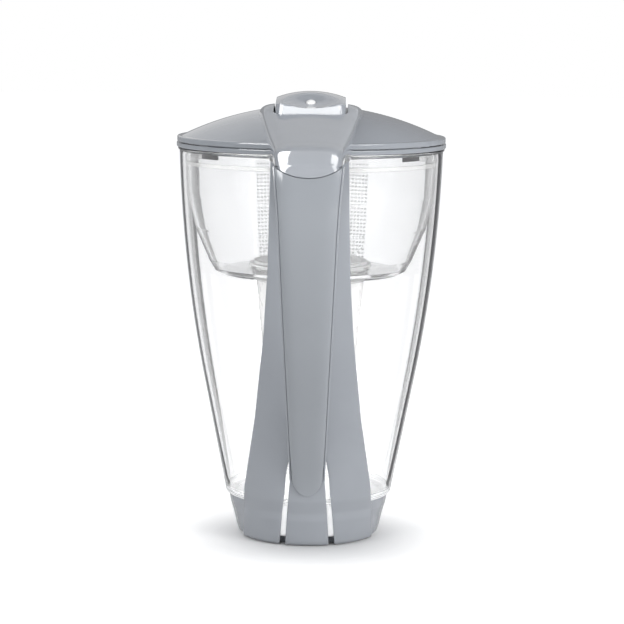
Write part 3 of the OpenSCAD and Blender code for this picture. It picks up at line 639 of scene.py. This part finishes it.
# ---------------------------------------------------------------- solids of the lid
LID_R, DOME_R, DOME_TOP, LID_LOW, LID_WALL, LID_EDGE = 80.0, 174.0, 258.5, 237.3, 2.2, 3.2
DOME_Z = DOME_TOP - DOME_R
COLLAR_R, COLLAR_IN, COLLAR_LOW, COLLAR_TOP = 80.3, 78.75, 234.1, 236.7
HINGE_Y, HINGE_Z, DRUM_R, FLAP_HALF, DRUM_CORNER = -42.9, 252.5, 17.4, 21.0, 6.0
FLAP_SIDE, FLAP_CORNER = 20.2, 4.5
ROCK, PIN_R, SKIRT_R, FILL_HALF = 0.45, 1.5, 71.5, 15.0
HOOD_WALL, HOOD_LOW = 2.3, 232.0
CROWN_R, CROWN_CROSS, CROWN_Y, CROWN_Z = 160.0, 58.0, -25.0, 268.0 - 160.0
DISH_R, DISH_Y, DISH_Z = 39.95, -62.0, 299.4
LENS_Y, LENS_R = -47.0, 2.75
GAP, SKIRT_LOW, SKIRT_WALL = 0.1, LID_LOW - 6.0, 1.8
BROW_R, BROW_LEAN, BROW_TOP = 24, math.radians(104.5), LID_LOW + 13.2


def dome_z(r, radius=DOME_R):
    """Height of a dome about the lid's centre at a radius."""
    return DOME_Z + math.sqrt(radius * radius - r * r)


def disc_solid(profile, count=240):
    """A (r, z) outline that starts and ends on the axis, turned about Z."""
    verts, faces = wheel([[(r * math.cos(a), r * math.sin(a), z) for r, z in profile] for a in around(count)])
    n = len(profile)
    faces = [f for f in faces if not (f[0] % n == n - 1 or f[1] % n == 0)]
    return solid(verts, faces)


def under_dome(low, r, radius, n, count=240):
    """A round block from a height up to a dome."""
    return disc_solid([(0, low), (r, low)] + [(x, dome_z(x, radius)) for x in steps(r, 0, n)], count)


def drum_solid(radius, half, corner, count=144):
    """A cylinder about the rocker's axis with round corners."""
    side = [(half - corner + corner * math.sin(t), radius - corner + corner * math.cos(t))
            for t in steps(0, math.pi / 2, 10)]
    profile = [(-half, 0.0)] + [(-x, r) for x, r in reversed(side)] + side + [(half, 0.0)]
    rings = [[(x, HINGE_Y + r * math.sin(a), HINGE_Z + r * math.cos(a)) for a in around(count)]
             for x, r in profile]
    return solid(*loft(rings, caps=(False, False)))


def well_solid(more=0.0, wide=0.0):
    """The round well that the flip lid's drum turns in."""
    return drum_solid(DRUM_R + ROCK + more, FLAP_HALF + ROCK + wide, DRUM_CORNER + ROCK + more)


def flap_outline(half, front, n=40):
    """Plan of the flip lid, from behind its axis to its round front."""
    return ([(-half, HINGE_Y - 1), (half, HINGE_Y - 1)]
            + [(half * math.cos(t), front + half * math.sin(t)) for t in steps(0, math.pi, n)])


def fill_outline(half, n=32):
    """Plan of the fill opening: two half circles and what is between them."""
    return ([(half * math.cos(t), 11 + half * math.sin(t)) for t in steps(0, math.pi, n)]
            + [(-half * math.cos(t), -2 - half * math.sin(t)) for t in steps(0, math.pi, n)])


def teardrop(big, small, n=200):
    """Outline of a rim that runs out into the lip, from the small circle round the big one."""
    turn = math.acos((big - small) / LIP_OUT)
    pts = [(small * math.sin(t), LIP_OUT + small * math.cos(t)) for t in steps(-turn, turn, 24)]
    pts += [(big * math.sin(t), big * math.cos(t)) for t in steps(turn, 2 * math.pi - turn, n)]
    return pts


def outline_ring(profile, big, small):
    """A (offset, z) section run round the rim's outline; offset is outward."""
    return wheel([[(x, y, z) for x, y in teardrop(big + dr, small + dr)] for dr, z in profile])


collar_wide = COLLAR_R - COLLAR_IN
section = rounded([(0, COLLAR_LOW), (collar_wide, COLLAR_LOW), (collar_wide, COLLAR_TOP), (0, COLLAR_TOP)],
                  [0.2, 0.45, 0.45, 0.2], 4)
make("rim_collar", *outline_ring(section, COLLAR_IN, LIP_R + 0.4), "slate_plastic", "jug",
     ["top_collar"], 40)


def soften(obj, width, segments=2, angle=48.0):
    """Small rounds on the sharp edges that the cuts left."""
    b = bmesh.new()
    b.from_mesh(obj.data)
    bmesh.ops.remove_doubles(b, verts=b.verts, dist=0.004 * MM)
    bmesh.ops.dissolve_degenerate(b, dist=0.002 * MM, edges=b.edges)
    b.to_mesh(obj.data)
    b.free()
    m = obj.modifiers.new("round", "BEVEL")
    m.width = width * MM
    m.segments = segments
    m.limit_method = "ANGLE"
    m.angle_limit = math.radians(angle)
    m.use_clamp_overlap = True
    m.harden_normals = False
    bake(obj)


# ---------------------------------------------------------------- hood
HOOD_LINE = [(14, 251), (-12, 259), (-36, 261.5), (-60, 256.8), (-88, 250.6), (-112, 245),
             (-127, 241), (-136, 234), (-139.3, 226), (-140.3, 218)]
FAN = (-100, 214)
HOOD_POWER, HOOD_SIDE, HOOD_DEEP, HOOD_CROSS = 2 / 7, 3.1, 26, 1.5


def spline_at(p, i, t):
    """Point at t between points i and i + 1 of a smooth curve through p."""
    a, b, c, d = (p[max(0, min(len(p) - 1, k))] for k in (i - 1, i, i + 1, i + 2))
    return tuple(0.5 * (2 * b[k] + (c[k] - a[k]) * t + (2 * a[k] - 5 * b[k] + 4 * c[k] - d[k]) * t * t
                        + (3 * b[k] - a[k] - 3 * c[k] + d[k]) * t ** 3) for k in (0, 1))


def hood_half(y):
    """Half the hood's width, less towards the grip."""
    return 29.2 - 0.102 * (-y - 40)


def hood_point(p, x, d):
    """Point x to the side and d down from p, towards the fan's middle."""
    u = (p[0] - FAN[0], p[1] - FAN[1])
    n = math.hypot(*u)
    return (x, p[0] - d * u[0] / n, p[1] - d * u[1] / n)


def hood_path(p, half, inset, n=72):
    """Cross-section of the hood at p: nearly flat on top, with full round sides."""
    out = []
    for i in range(n + 1):
        a = math.pi * (1 - i / n)
        x = math.copysign(abs(math.cos(a)) ** HOOD_POWER, math.cos(a))
        s = abs(math.sin(a)) ** HOOD_POWER
        out.append(hood_point(p, x * (half - inset - HOOD_SIDE * (1 - s)),
                              inset + HOOD_DEEP * (1 - s) + HOOD_CROSS * x * x))
    return out


def hood():
    """The hood: a shell along its line, cut to the seam, the dome, the collar, the well and the flip lid."""
    track = [spline_at(HOOD_LINE, i, t / 12) for i in range(len(HOOD_LINE) - 1) for t in range(12)]
    obj = solid(*loft([hood_path(p, hood_half(p[0]), 0) + hood_path(p, hood_half(p[0]), HOOD_WALL)[::-1]
                       for p in track + [HOOD_LINE[-1]]]))
    side, seam_half = 60, 16.9
    below = prism([(-side, 200), (side, 200), (side, HOOD_LOW), (-side, HOOD_LOW)], -134.6, 40, upright)
    chin = [(-seam_half, HOOD_LOW)]
    chin += [(x, SEAM_Z - math.sqrt(HOOD_SEAM_R ** 2 - x * x)) for x in steps(-seam_half, seam_half, 60)]
    chin += [(seam_half, HOOD_LOW), (side, HOOD_LOW), (side, 300), (-side, 300), (-side, HOOD_LOW)]
    keep = prism(chin, -170, 40, upright)
    out, top = LID_R + GAP, LID_LOW + LID_EDGE + GAP
    under = disc_solid([(0, 217), (out, 217), (out, dome_z(LID_R, DOME_R + GAP))]
                       + [(r, dome_z(r, DOME_R + GAP)) for r in steps(LID_R, 0, 60)])
    ring = disc_solid([(0, 220), (COLLAR_R + 0.4, 220), (COLLAR_R + 0.4, LID_LOW + GAP),
                       (out, LID_LOW + GAP), (out, top), (0, top)])
    gate = prism(flap_outline(FLAP_HALF + ROCK, 13), 240, 280)
    cut(obj, below)
    cut(obj, keep, mode="INTERSECT")
    cut(obj, under, ring, well_solid(), gate)
    soften(obj, 0.4, 2)
    obj.name = "lid_hood_shell"
    dress(obj, "slate_plastic", "lid", ["lid_hood"], 38)


hood()


# ---------------------------------------------------------------- flip lid
def crown_z(x, y, radius):
    """Height of the flip lid's crown, the outside of a ring that is tighter from side to side."""
    reach = CROWN_R - CROWN_CROSS + math.sqrt((CROWN_CROSS - CROWN_R + radius) ** 2 - x * x)
    return CROWN_Z + math.sqrt(reach * reach - (y - CROWN_Y) ** 2)


def dish_z(x, y):
    """Height of the thumb dish's ball over a place."""
    left = DISH_R ** 2 - x * x - (y - DISH_Y) ** 2
    return DISH_Z - math.sqrt(left) if left > 0 else DISH_Z


def top_solid(height, half=24.0, nx=96, ny=220):
    """Everything below a height field."""
    rings = []
    for y in steps(-66.0, 40.0, ny):
        xs = steps(-half, half, nx)
        rings.append([(x, y, height(x, y)) for x in xs] + [(half, y, 200.0), (-half, y, 200.0)])
    return solid(*loft(rings))


def ball(radius, cy, cz):
    """A ball with its middle over X = 0."""
    b = bmesh.new()
    bmesh.ops.create_uvsphere(b, u_segments=160, v_segments=120, radius=radius * MM)
    bmesh.ops.translate(b, verts=b.verts, vec=(0, cy * MM, cz * MM))
    return finish_mesh(b, "ball")


def rod(x0, x1, r, n=48):
    """A round bar about the hinge's axis."""
    return solid(*loft([[(x, HINGE_Y + r * math.cos(a), HINGE_Z + r * math.sin(a)) for a in around(n)]
                        for x in (x0, x1)]))


def bar(start, way, low, high, r, n):
    """A round bar from low to high along a way that is square to X."""
    side = Vector((1, 0, 0))
    up = way.cross(side)
    rings = []
    for h in (low, high):
        c = start + way * h
        rings.append([tuple(c + side * (r * math.cos(a)) + up * (r * math.sin(a))) for a in around(n)])
    return solid(*loft(rings))


LENS_Z = DISH_Z - math.sqrt(DISH_R ** 2 - (LENS_Y - DISH_Y) ** 2)
LENS_WAY = Vector((0, DISH_Y - LENS_Y, DISH_Z - LENS_Z)).normalized()


def lens_rod(low, high, r):
    """A round bar along the button's axis."""
    return bar(Vector((0, LENS_Y, LENS_Z)), LENS_WAY, low, high, r, 64)


def box(lo, hi):
    """A block between two corners."""
    (a, b, c), (d, e, f) = lo, hi
    return prism([(a, b), (d, b), (d, e), (a, e)], c, f)


def flap():
    """The rocker: drum and front under one crown, with dish, hollow, pin bosses and the button's seat."""
    wall, front_y = 2, 13.8
    body = drum_solid(DRUM_R, FLAP_SIDE, FLAP_CORNER)
    cut(body, box((-40, -90, 249.5), (40, -30, 290)), mode="INTERSECT")
    front = prism(flap_outline(FLAP_SIDE, front_y), 240, 280)
    cut(front, under_dome(200, 110, DOME_R + 0.4, 80, 200))
    cut(body, front, mode="UNION")
    top = top_solid(lambda x, y: -smooth_max(-crown_z(x, y, CROWN_R), -dish_z(x, y), 3.0))
    cut(body, top, mode="INTERSECT")
    hollow = drum_solid(DRUM_R - wall, FLAP_SIDE - wall, FLAP_CORNER - wall)
    cut(hollow, prism(flap_outline(FLAP_SIDE - wall, front_y), 230, 280), mode="UNION")
    cut(hollow, top_solid(lambda x, y: crown_z(x, y, CROWN_R - 2.2), nx=48, ny=80), mode="INTERSECT")
    cut(hollow, ball(DISH_R + 2.2, DISH_Y, DISH_Z))
    cut(body, hollow)
    for a, b in ((-19.7, -13), (13, 19.7)):
        cut(body, rod(a, b, 4.0), mode="UNION")
    cut(body, lens_rod(-7, -1.2, 7.8), mode="UNION")
    cut(body, lens_rod(-9, -2.6, 6.5), lens_rod(-4, 4, LENS_R + 0.3), rod(-40, 40, PIN_R + 0.05))
    soften(body, 0.45, 3, 40)
    body.name = "flip_lid"
    dress(body, "slate_plastic", "flap", ["fill_flap"], 38)


flap()


# ---------------------------------------------------------------- lid
def brow_bar(radius):
    """The round bar whose back makes the ridge over the pouring lip."""
    way = Vector((0, math.sin(BROW_LEAN), math.cos(BROW_LEAN)))
    return bar(Vector((0, 52, BROW_TOP - BROW_R)), way, -12, 52, radius, 200)


def lid():
    """The lid's dome with its ridge, skirt, neck of the fill opening, well and pin bosses."""
    edge, tip = LID_LOW + LID_EDGE, LIP_R + 1.8
    brim = rounded([(0, LID_LOW), (LID_R, LID_LOW), (LID_R, edge), (77.4, edge), (77.0, dome_z(77.0))],
                   [0, 0.4, 0.75, 0.3, 0], 5)
    body = disc_solid(brim + [(r, dome_z(r)) for r in steps(76.5, 0, 90)], 320)
    ridge = brow_bar(BROW_R)
    cut(ridge, prism(teardrop(LID_R, tip), LID_LOW, LID_LOW + 16), mode="INTERSECT")
    cut(body, ridge, prism(teardrop(LID_R - 0.4, tip), LID_LOW, LID_LOW + LID_WALL), mode="UNION")
    inner, inside = LID_R - LID_WALL, SKIRT_R - SKIRT_WALL
    low = brow_bar(BROW_R - LID_WALL)
    cut(low, prism(teardrop(inner, tip - LID_WALL), LID_LOW - 1, LID_LOW + 19), mode="INTERSECT")
    cut(body, under_dome(LID_LOW - 1, inner, DOME_R - LID_WALL, 60), low)
    skirt = under_dome(SKIRT_LOW, SKIRT_R, DOME_R - 1, 60)
    cut(skirt, disc_solid([(0, 200), (inside, 200), (inside, 280), (0, 280)]),
        box((-17, 40, 220), (17, 100, 260)))
    neck = under_dome(246, 40, DOME_R - 1, 40)
    cut(neck, prism(fill_outline(FILL_HALF + 1.6), 240, 270), mode="INTERSECT")
    well = well_solid(1.6, 2)
    cut(well, box((-40, -90, 200), (40, 0, 253.6)), mode="INTERSECT")
    cut(body, skirt, neck, well, mode="UNION")
    for a, b in ((-25.05, -21.45), (21.45, 25.05)):
        cut(body, rod(a, b, 3.1), mode="UNION")
    cut(body, well_solid(), prism(fill_outline(FILL_HALF), 240, 270), rod(-40, 40, PIN_R))
    soften(body, 0.3, 2, 50)
    body.name = "lid_dome"
    dress(body, "slate_plastic", "lid", ["lid_shell"], 38)


lid()

# the lid's seal runs round the skirt and stops on both sides of the pouring lip
SEAL_IN, SEAL_OUT = 0.1, 1.15
SEAL_LOW, SEAL_TOP = SKIRT_LOW + 0.2, SKIRT_LOW + 1.3
section = rounded([(SEAL_IN, SEAL_LOW), (SEAL_OUT, SEAL_LOW), (SEAL_OUT, SEAL_TOP), (SEAL_IN, SEAL_TOP)],
                  0.25, 3)
gasket_rings = [[((SKIRT_R + r) * math.cos(a), (SKIRT_R + r) * math.sin(a), z) for r, z in section]
                for a in map(math.radians, steps(107.0, 433.0, 240))]
make("lid_gasket", *loft(gasket_rings), "grey_silicone", "lid", ["lid_seal"], 50)


# ---------------------------------------------------------------- spout screen
def screen_r(z):
    """Radius of the middle of the sheet."""
    return jug_r(z) - JUG_WALL - 1.3


def screen():
    """A curved sheet with a fine grid of round holes; the bores get a darker grey, painted shade inside the
    holes.
    """
    low, high, half, pitch, bore, waist, thick = 153.2, 222.2, 29.0, 2.3, 0.54, 0.3, 0.6
    rows, cols = 30, 31
    wide = math.radians(2 * half) / cols
    tops = [(z - low) / pitch for z in (226.0, 230.0, 234.2)]
    verts, faces, dark = [], [], []

    def at(u, v, r):
        """Point at column u, row v, offset r from the middle of the sheet."""
        z = low + v * pitch
        a = (u - cols / 2) * wide
        d = screen_r(z) + r
        return (d * math.sin(a), d * math.cos(a), z)

    def octagon(u, v, r):
        """Eight points round a hole's middle."""
        across = screen_r(low + v * pitch) * wide
        return [(u + r / across * math.cos(a), v + r / pitch * math.sin(a)) for a in around(8)]

    def add(quad, inside=False):
        n = len(verts)
        verts.extend(quad)
        (dark if inside else faces).append((n, n + 1, n + 2, n + 3))

    square = [(1, 0), (1, 1), (0, 1), (-1, 1), (-1, 0), (-1, -1), (0, -1), (1, -1)]
    for i in range(cols):
        for j in range(rows):
            mid_u, mid_v = i + 0.5, j + 0.5
            edge = [(mid_u + 0.5 * x, mid_v + 0.5 * y) for x, y in square]
            hole, neck = octagon(mid_u, mid_v, bore), octagon(mid_u, mid_v, waist)
            for k in range(8):
                m = (k + 1) % 8
                for r in (-thick, thick):
                    quad = [at(*edge[k], r), at(*edge[m], r), at(*hole[m], r), at(*hole[k], r)]
                    add(quad if r > 0 else quad[::-1])
                # the two rings of each bore go to the dark list, which gets the painted shade
                add([at(*hole[k], thick), at(*hole[m], thick), at(*neck[m], 0), at(*neck[k], 0)], True)
                add([at(*neck[k], 0), at(*neck[m], 0), at(*hole[m], -thick), at(*hole[k], -thick)], True)
    steps_u = [k * 0.5 for k in range(2 * cols + 1)]
    for a, b in zip(steps_u, steps_u[1:]):
        add([at(b, 0, thick), at(a, 0, thick), at(a, 0, -thick), at(b, 0, -thick)])
        for c, d in zip([rows] + tops, tops):
            for r in (-thick, thick):
                quad = [at(a, c, r), at(b, c, r), at(b, d, r), at(a, d, r)]
                add(quad if r > 0 else quad[::-1])
        add([at(a, tops[-1], thick), at(b, tops[-1], thick), at(b, tops[-1], -thick),
             at(a, tops[-1], -thick)])
    rise = [k * 0.5 for k in range(2 * rows + 1)] + tops
    for u in (0, cols):
        for a, b in zip(rise, rise[1:]):
            quad = [at(u, a, -thick), at(u, a, thick), at(u, b, thick), at(u, b, -thick)]
            add(quad if u else quad[::-1])
    obj = make("dotted_screen", verts, faces + dark, "screen_plastic", "hopper", ["spout_screen"], 30)
    # the bore walls take the darker grey: painted shade inside the holes
    obj.data.materials.append(MATERIALS["screen_bore_painted_shade"])
    for poly in obj.data.polygons:
        mid = poly.center / MM
        flat = Vector((mid.x, mid.y)).normalized()
        steep = abs(poly.normal.x * flat.x + poly.normal.y * flat.y) < 0.5
        turn = abs(math.degrees(math.atan2(mid.x, mid.y)))
        if steep and low + 0.2 < mid.z < high - 0.2 and turn < half - 0.2:
            poly.material_index = 1


screen()


# ---------------------------------------------------------------- stage
def join(nodes, links, operation, a, b):
    """The output of a maths node over two sockets."""
    node = nodes.new("ShaderNodeMath")
    node.operation = operation
    links.new(a, node.inputs[0])
    links.new(b, node.inputs[1])
    return node.outputs[0]


floor_bm = bmesh.new()
bmesh.ops.create_grid(floor_bm, x_segments=8, y_segments=8, size=6.0)
floor = finish_mesh(floor_bm, "floor")
floor_mat, nodes, links, bsdf = shader("floor_white")
bsdf.inputs["Base Color"].default_value = (0.68, 0.68, 0.68, 1)
bsdf.inputs["Roughness"].default_value = 1.0
bsdf.inputs["Specular IOR Level"].default_value = 0.0
# the floor glows to the camera and through glass, less and less towards a point a little in front of the
# foot, so that the lamps' shadow stays and a painted shadow is laid round the foot
path = nodes.new("ShaderNodeLightPath")
seen = join(nodes, links, "MAXIMUM", path.outputs["Is Camera Ray"], path.outputs["Is Transmission Ray"])
coord = nodes.new("ShaderNodeTexCoord")
painted_shadow_middle = nodes.new("ShaderNodeVectorMath")
painted_shadow_middle.operation = "SUBTRACT"
painted_shadow_middle.inputs[1].default_value = (0.0, -0.02, 0.0)
links.new(coord.outputs["Object"], painted_shadow_middle.inputs[0])
away = nodes.new("ShaderNodeVectorMath")
away.operation = "LENGTH"
links.new(painted_shadow_middle.outputs["Vector"], away.inputs[0])
# painted shadow: the glow falls away close to the foot, centred a little in front of it
near = spread(nodes, links, away.outputs["Value"], 0.0, 0.56, 0.025, 0.085)
far = spread(nodes, links, away.outputs["Value"], 0.0, 0.14, 0.09, 0.45)
glow = join(nodes, links, "MULTIPLY", seen, join(nodes, links, "ADD", near, far))
bsdf.inputs["Emission Color"].default_value = (1, 1, 1, 1)
links.new(glow, bsdf.inputs["Emission Strength"])
floor.data.materials.append(floor_mat)

world = bpy.data.worlds.new("world")
scene.world = world
world.use_nodes = True
wn, wl = world.node_tree.nodes, world.node_tree.links


def background(r, g, b, node=None):
    """The output of a background of one colour."""
    node = node or wn.new("ShaderNodeBackground")
    node.inputs["Color"].default_value = (r, g, b, 1)
    node.inputs["Strength"].default_value = 1.0
    return node.outputs[0]


def mix(fac, a, b):
    """The output of a mix of two backgrounds."""
    node = wn.new("ShaderNodeMixShader")
    wl.new(fac, node.inputs["Fac"])
    wl.new(a, node.inputs[1])
    wl.new(b, node.inputs[2])
    return node.outputs[0]


# grey light on the object, white to the camera and through glass, a darker grey in mirrored rays
path = wn.new("ShaderNodeLightPath")
seen = join(wn, wl, "MAXIMUM", path.outputs["Is Camera Ray"], path.outputs["Is Transmission Ray"])
surround = mix(seen, background(0.5, 0.51, 0.53, wn["Background"]), background(1, 1, 1))
surround = mix(path.outputs["Is Glossy Ray"], surround, background(0.3, 0.305, 0.315))
wl.new(surround, wn["World Output"].inputs["Surface"])


def lamp(name, place, aim, size, power):
    """A soft rectangular lamp that looks at a point."""
    data = bpy.data.lights.new(name, "AREA")
    data.shape = "RECTANGLE"
    data.size, data.size_y = size
    data.energy = power
    o = add_object(name, data)
    o.location = place
    o.rotation_euler = (Vector(aim) - Vector(place)).to_track_quat("-Z", "Y").to_euler()
    return o


def only_for(o, *pieces):
    """Lets a lamp light nothing but some pieces."""
    group = bpy.data.collections.new(o.name)
    for piece in pieces:
        group.objects.link(bpy.data.objects[piece])
    o.light_linking.receiver_collection = group


# the lamps that light the object, which nothing mirrors: place, size and power
MIDDLE = (0, -0.06, 0.18)
SOFT_LAMPS = [("soft_left", (-0.9, -0.8, 0.6), 0.6, 4.4),
              ("soft_right", (0.9, -0.8, 0.5), 0.6, 9.5),
              ("top", (-0.45, 0.0, 1.25), 0.9, 1.2)]
for lamp_name, lamp_at, lamp_size, lamp_power in SOFT_LAMPS:
    lamp(lamp_name, lamp_at, MIDDLE, (lamp_size, lamp_size), lamp_power).visible_glossy = False

# the lamps that only mirror: degrees from the camera's side to the left and up, as seen from the hood,
# distance, size and power, and the pieces that they are for, where it isn't all of them
GLOSS_AIM = Vector((0, -0.13, 0.235))
HOOD, GRIP = ["lid_hood_shell"], ["grip_frame", "grip_cover_shell"]
GLOSS_LAMPS = [("gloss_left", 50, 34, 1.09, (0.75, 1.1), 22.0, []),
               ("gloss_right", -57, 33, 1.05, (0.45, 0.9), 6.0, []),
               ("hood_left", 100, 56, 1.0, (1.0, 0.8), 20.0, HOOD),
               ("hood_right", -97, 58, 1.0, (0.55, 0.6), 5.0, HOOD),
               ("hood_over", 0, 88, 1.0, (1.3, 1.1), 3.4, HOOD),
               ("hood_back", 180, 40, 1.1, (1.3, 1.1), 1.05, HOOD),
               ("hood_front", 0, 35, 1.1, (1.3, 1.05), 3.4, HOOD),
               ("lid_back", 153, 26, 1.2, (1.1, 0.95), 1.1, ["lid_dome"]),
               ("pad_back", 180, 26, 1.2, (1.0, 0.9), 0.8, ["flip_lid"]),
               ("pad_front", 0, 43, 1.15, (1.3, 0.8), 20.0, ["flip_lid"]),
               ("grip_left", 128, 8, 1.1, (0.7, 0.5), 11.0, GRIP),
               ("grip_right", -128, 8, 1.1, (0.7, 0.5), 8.0, GRIP)]
for lamp_name, az, el, distance, lamp_size, lamp_power, pieces in GLOSS_LAMPS:
    a, e = math.radians(az), math.radians(el)
    way = Vector((-math.cos(e) * math.sin(a), -math.cos(e) * math.cos(a), math.sin(e)))
    mirror = lamp(lamp_name, GLOSS_AIM + distance * way, GLOSS_AIM, lamp_size, lamp_power)
    mirror.visible_diffuse = mirror.visible_camera = mirror.visible_transmission = False
    if pieces:
        only_for(mirror, *pieces)

# the lamp that lights the frosted foot behind the two slits
slit = lamp("slit", (0, -1.2, 0.22), (0, -0.05, 0.02), (0.3, 0.3), 12.0)
slit.visible_glossy = slit.visible_camera = False
only_for(slit, "jug_glass")

# dark cards behind the jug and on the floor, which only rays bent by the glass meet
card_mat, nodes, links, bsdf = shader("side_dark")
bsdf.inputs["Base Color"].default_value = (0.005, 0.005, 0.005, 1)
bsdf.inputs["Specular IOR Level"].default_value = 0.0
CARD_IN, CARD_Y, CARD_TOP, CARD_FLOOR = 0.26, 1.0, 0.8, 0.003
for side, wide in ((-1, 0.5), (1, 0.62)):
    upright_card = [(CARD_IN, CARD_Y, 0.0), (wide, CARD_Y, 0.0), (wide, CARD_Y, CARD_TOP),
                    (CARD_IN, CARD_Y, CARD_TOP)]
    floor_card = [(0.075, 0.05, CARD_FLOOR), (CARD_IN, CARD_Y, CARD_FLOOR), (wide, CARD_Y, CARD_FLOOR),
                  (0.095, 0.05, CARD_FLOOR)]
    for corners in (upright_card, floor_card):
        card_mesh = bpy.data.meshes.new("side_card")
        card_mesh.from_pydata([(side * x, y, z) for x, y, z in corners], [], [(0, 1, 2, 3)])
        card = add_object("side_card", card_mesh)
        card_mesh.materials.append(card_mat)
        card.visible_camera = card.visible_diffuse = card.visible_glossy = card.visible_shadow = False

# ---------------------------------------------------------------- camera
CAM_AT = Vector((15.6, -1400, 326)) * MM
PITCH, YAW, ROLL = math.radians(7.8), math.radians(0.585), math.radians(0.55)
FOCAL_PX, PICTURE_PX, SENSOR = 2343, 624, 36.0
cam_data = bpy.data.cameras.new("camera")
cam_data.sensor_width = SENSOR
cam_data.lens = FOCAL_PX / PICTURE_PX * SENSOR
cam_data.clip_end = 50
cam = add_object("camera", cam_data)
cam.matrix_world = (Matrix.Translation(CAM_AT) @ Matrix.Rotation(YAW, 4, "Z")
                    @ Matrix.Rotation(math.pi / 2 - PITCH, 4, "X") @ Matrix.Rotation(ROLL, 4, "Z"))
scene.camera = cam

scene.view_settings.view_transform = "Standard"
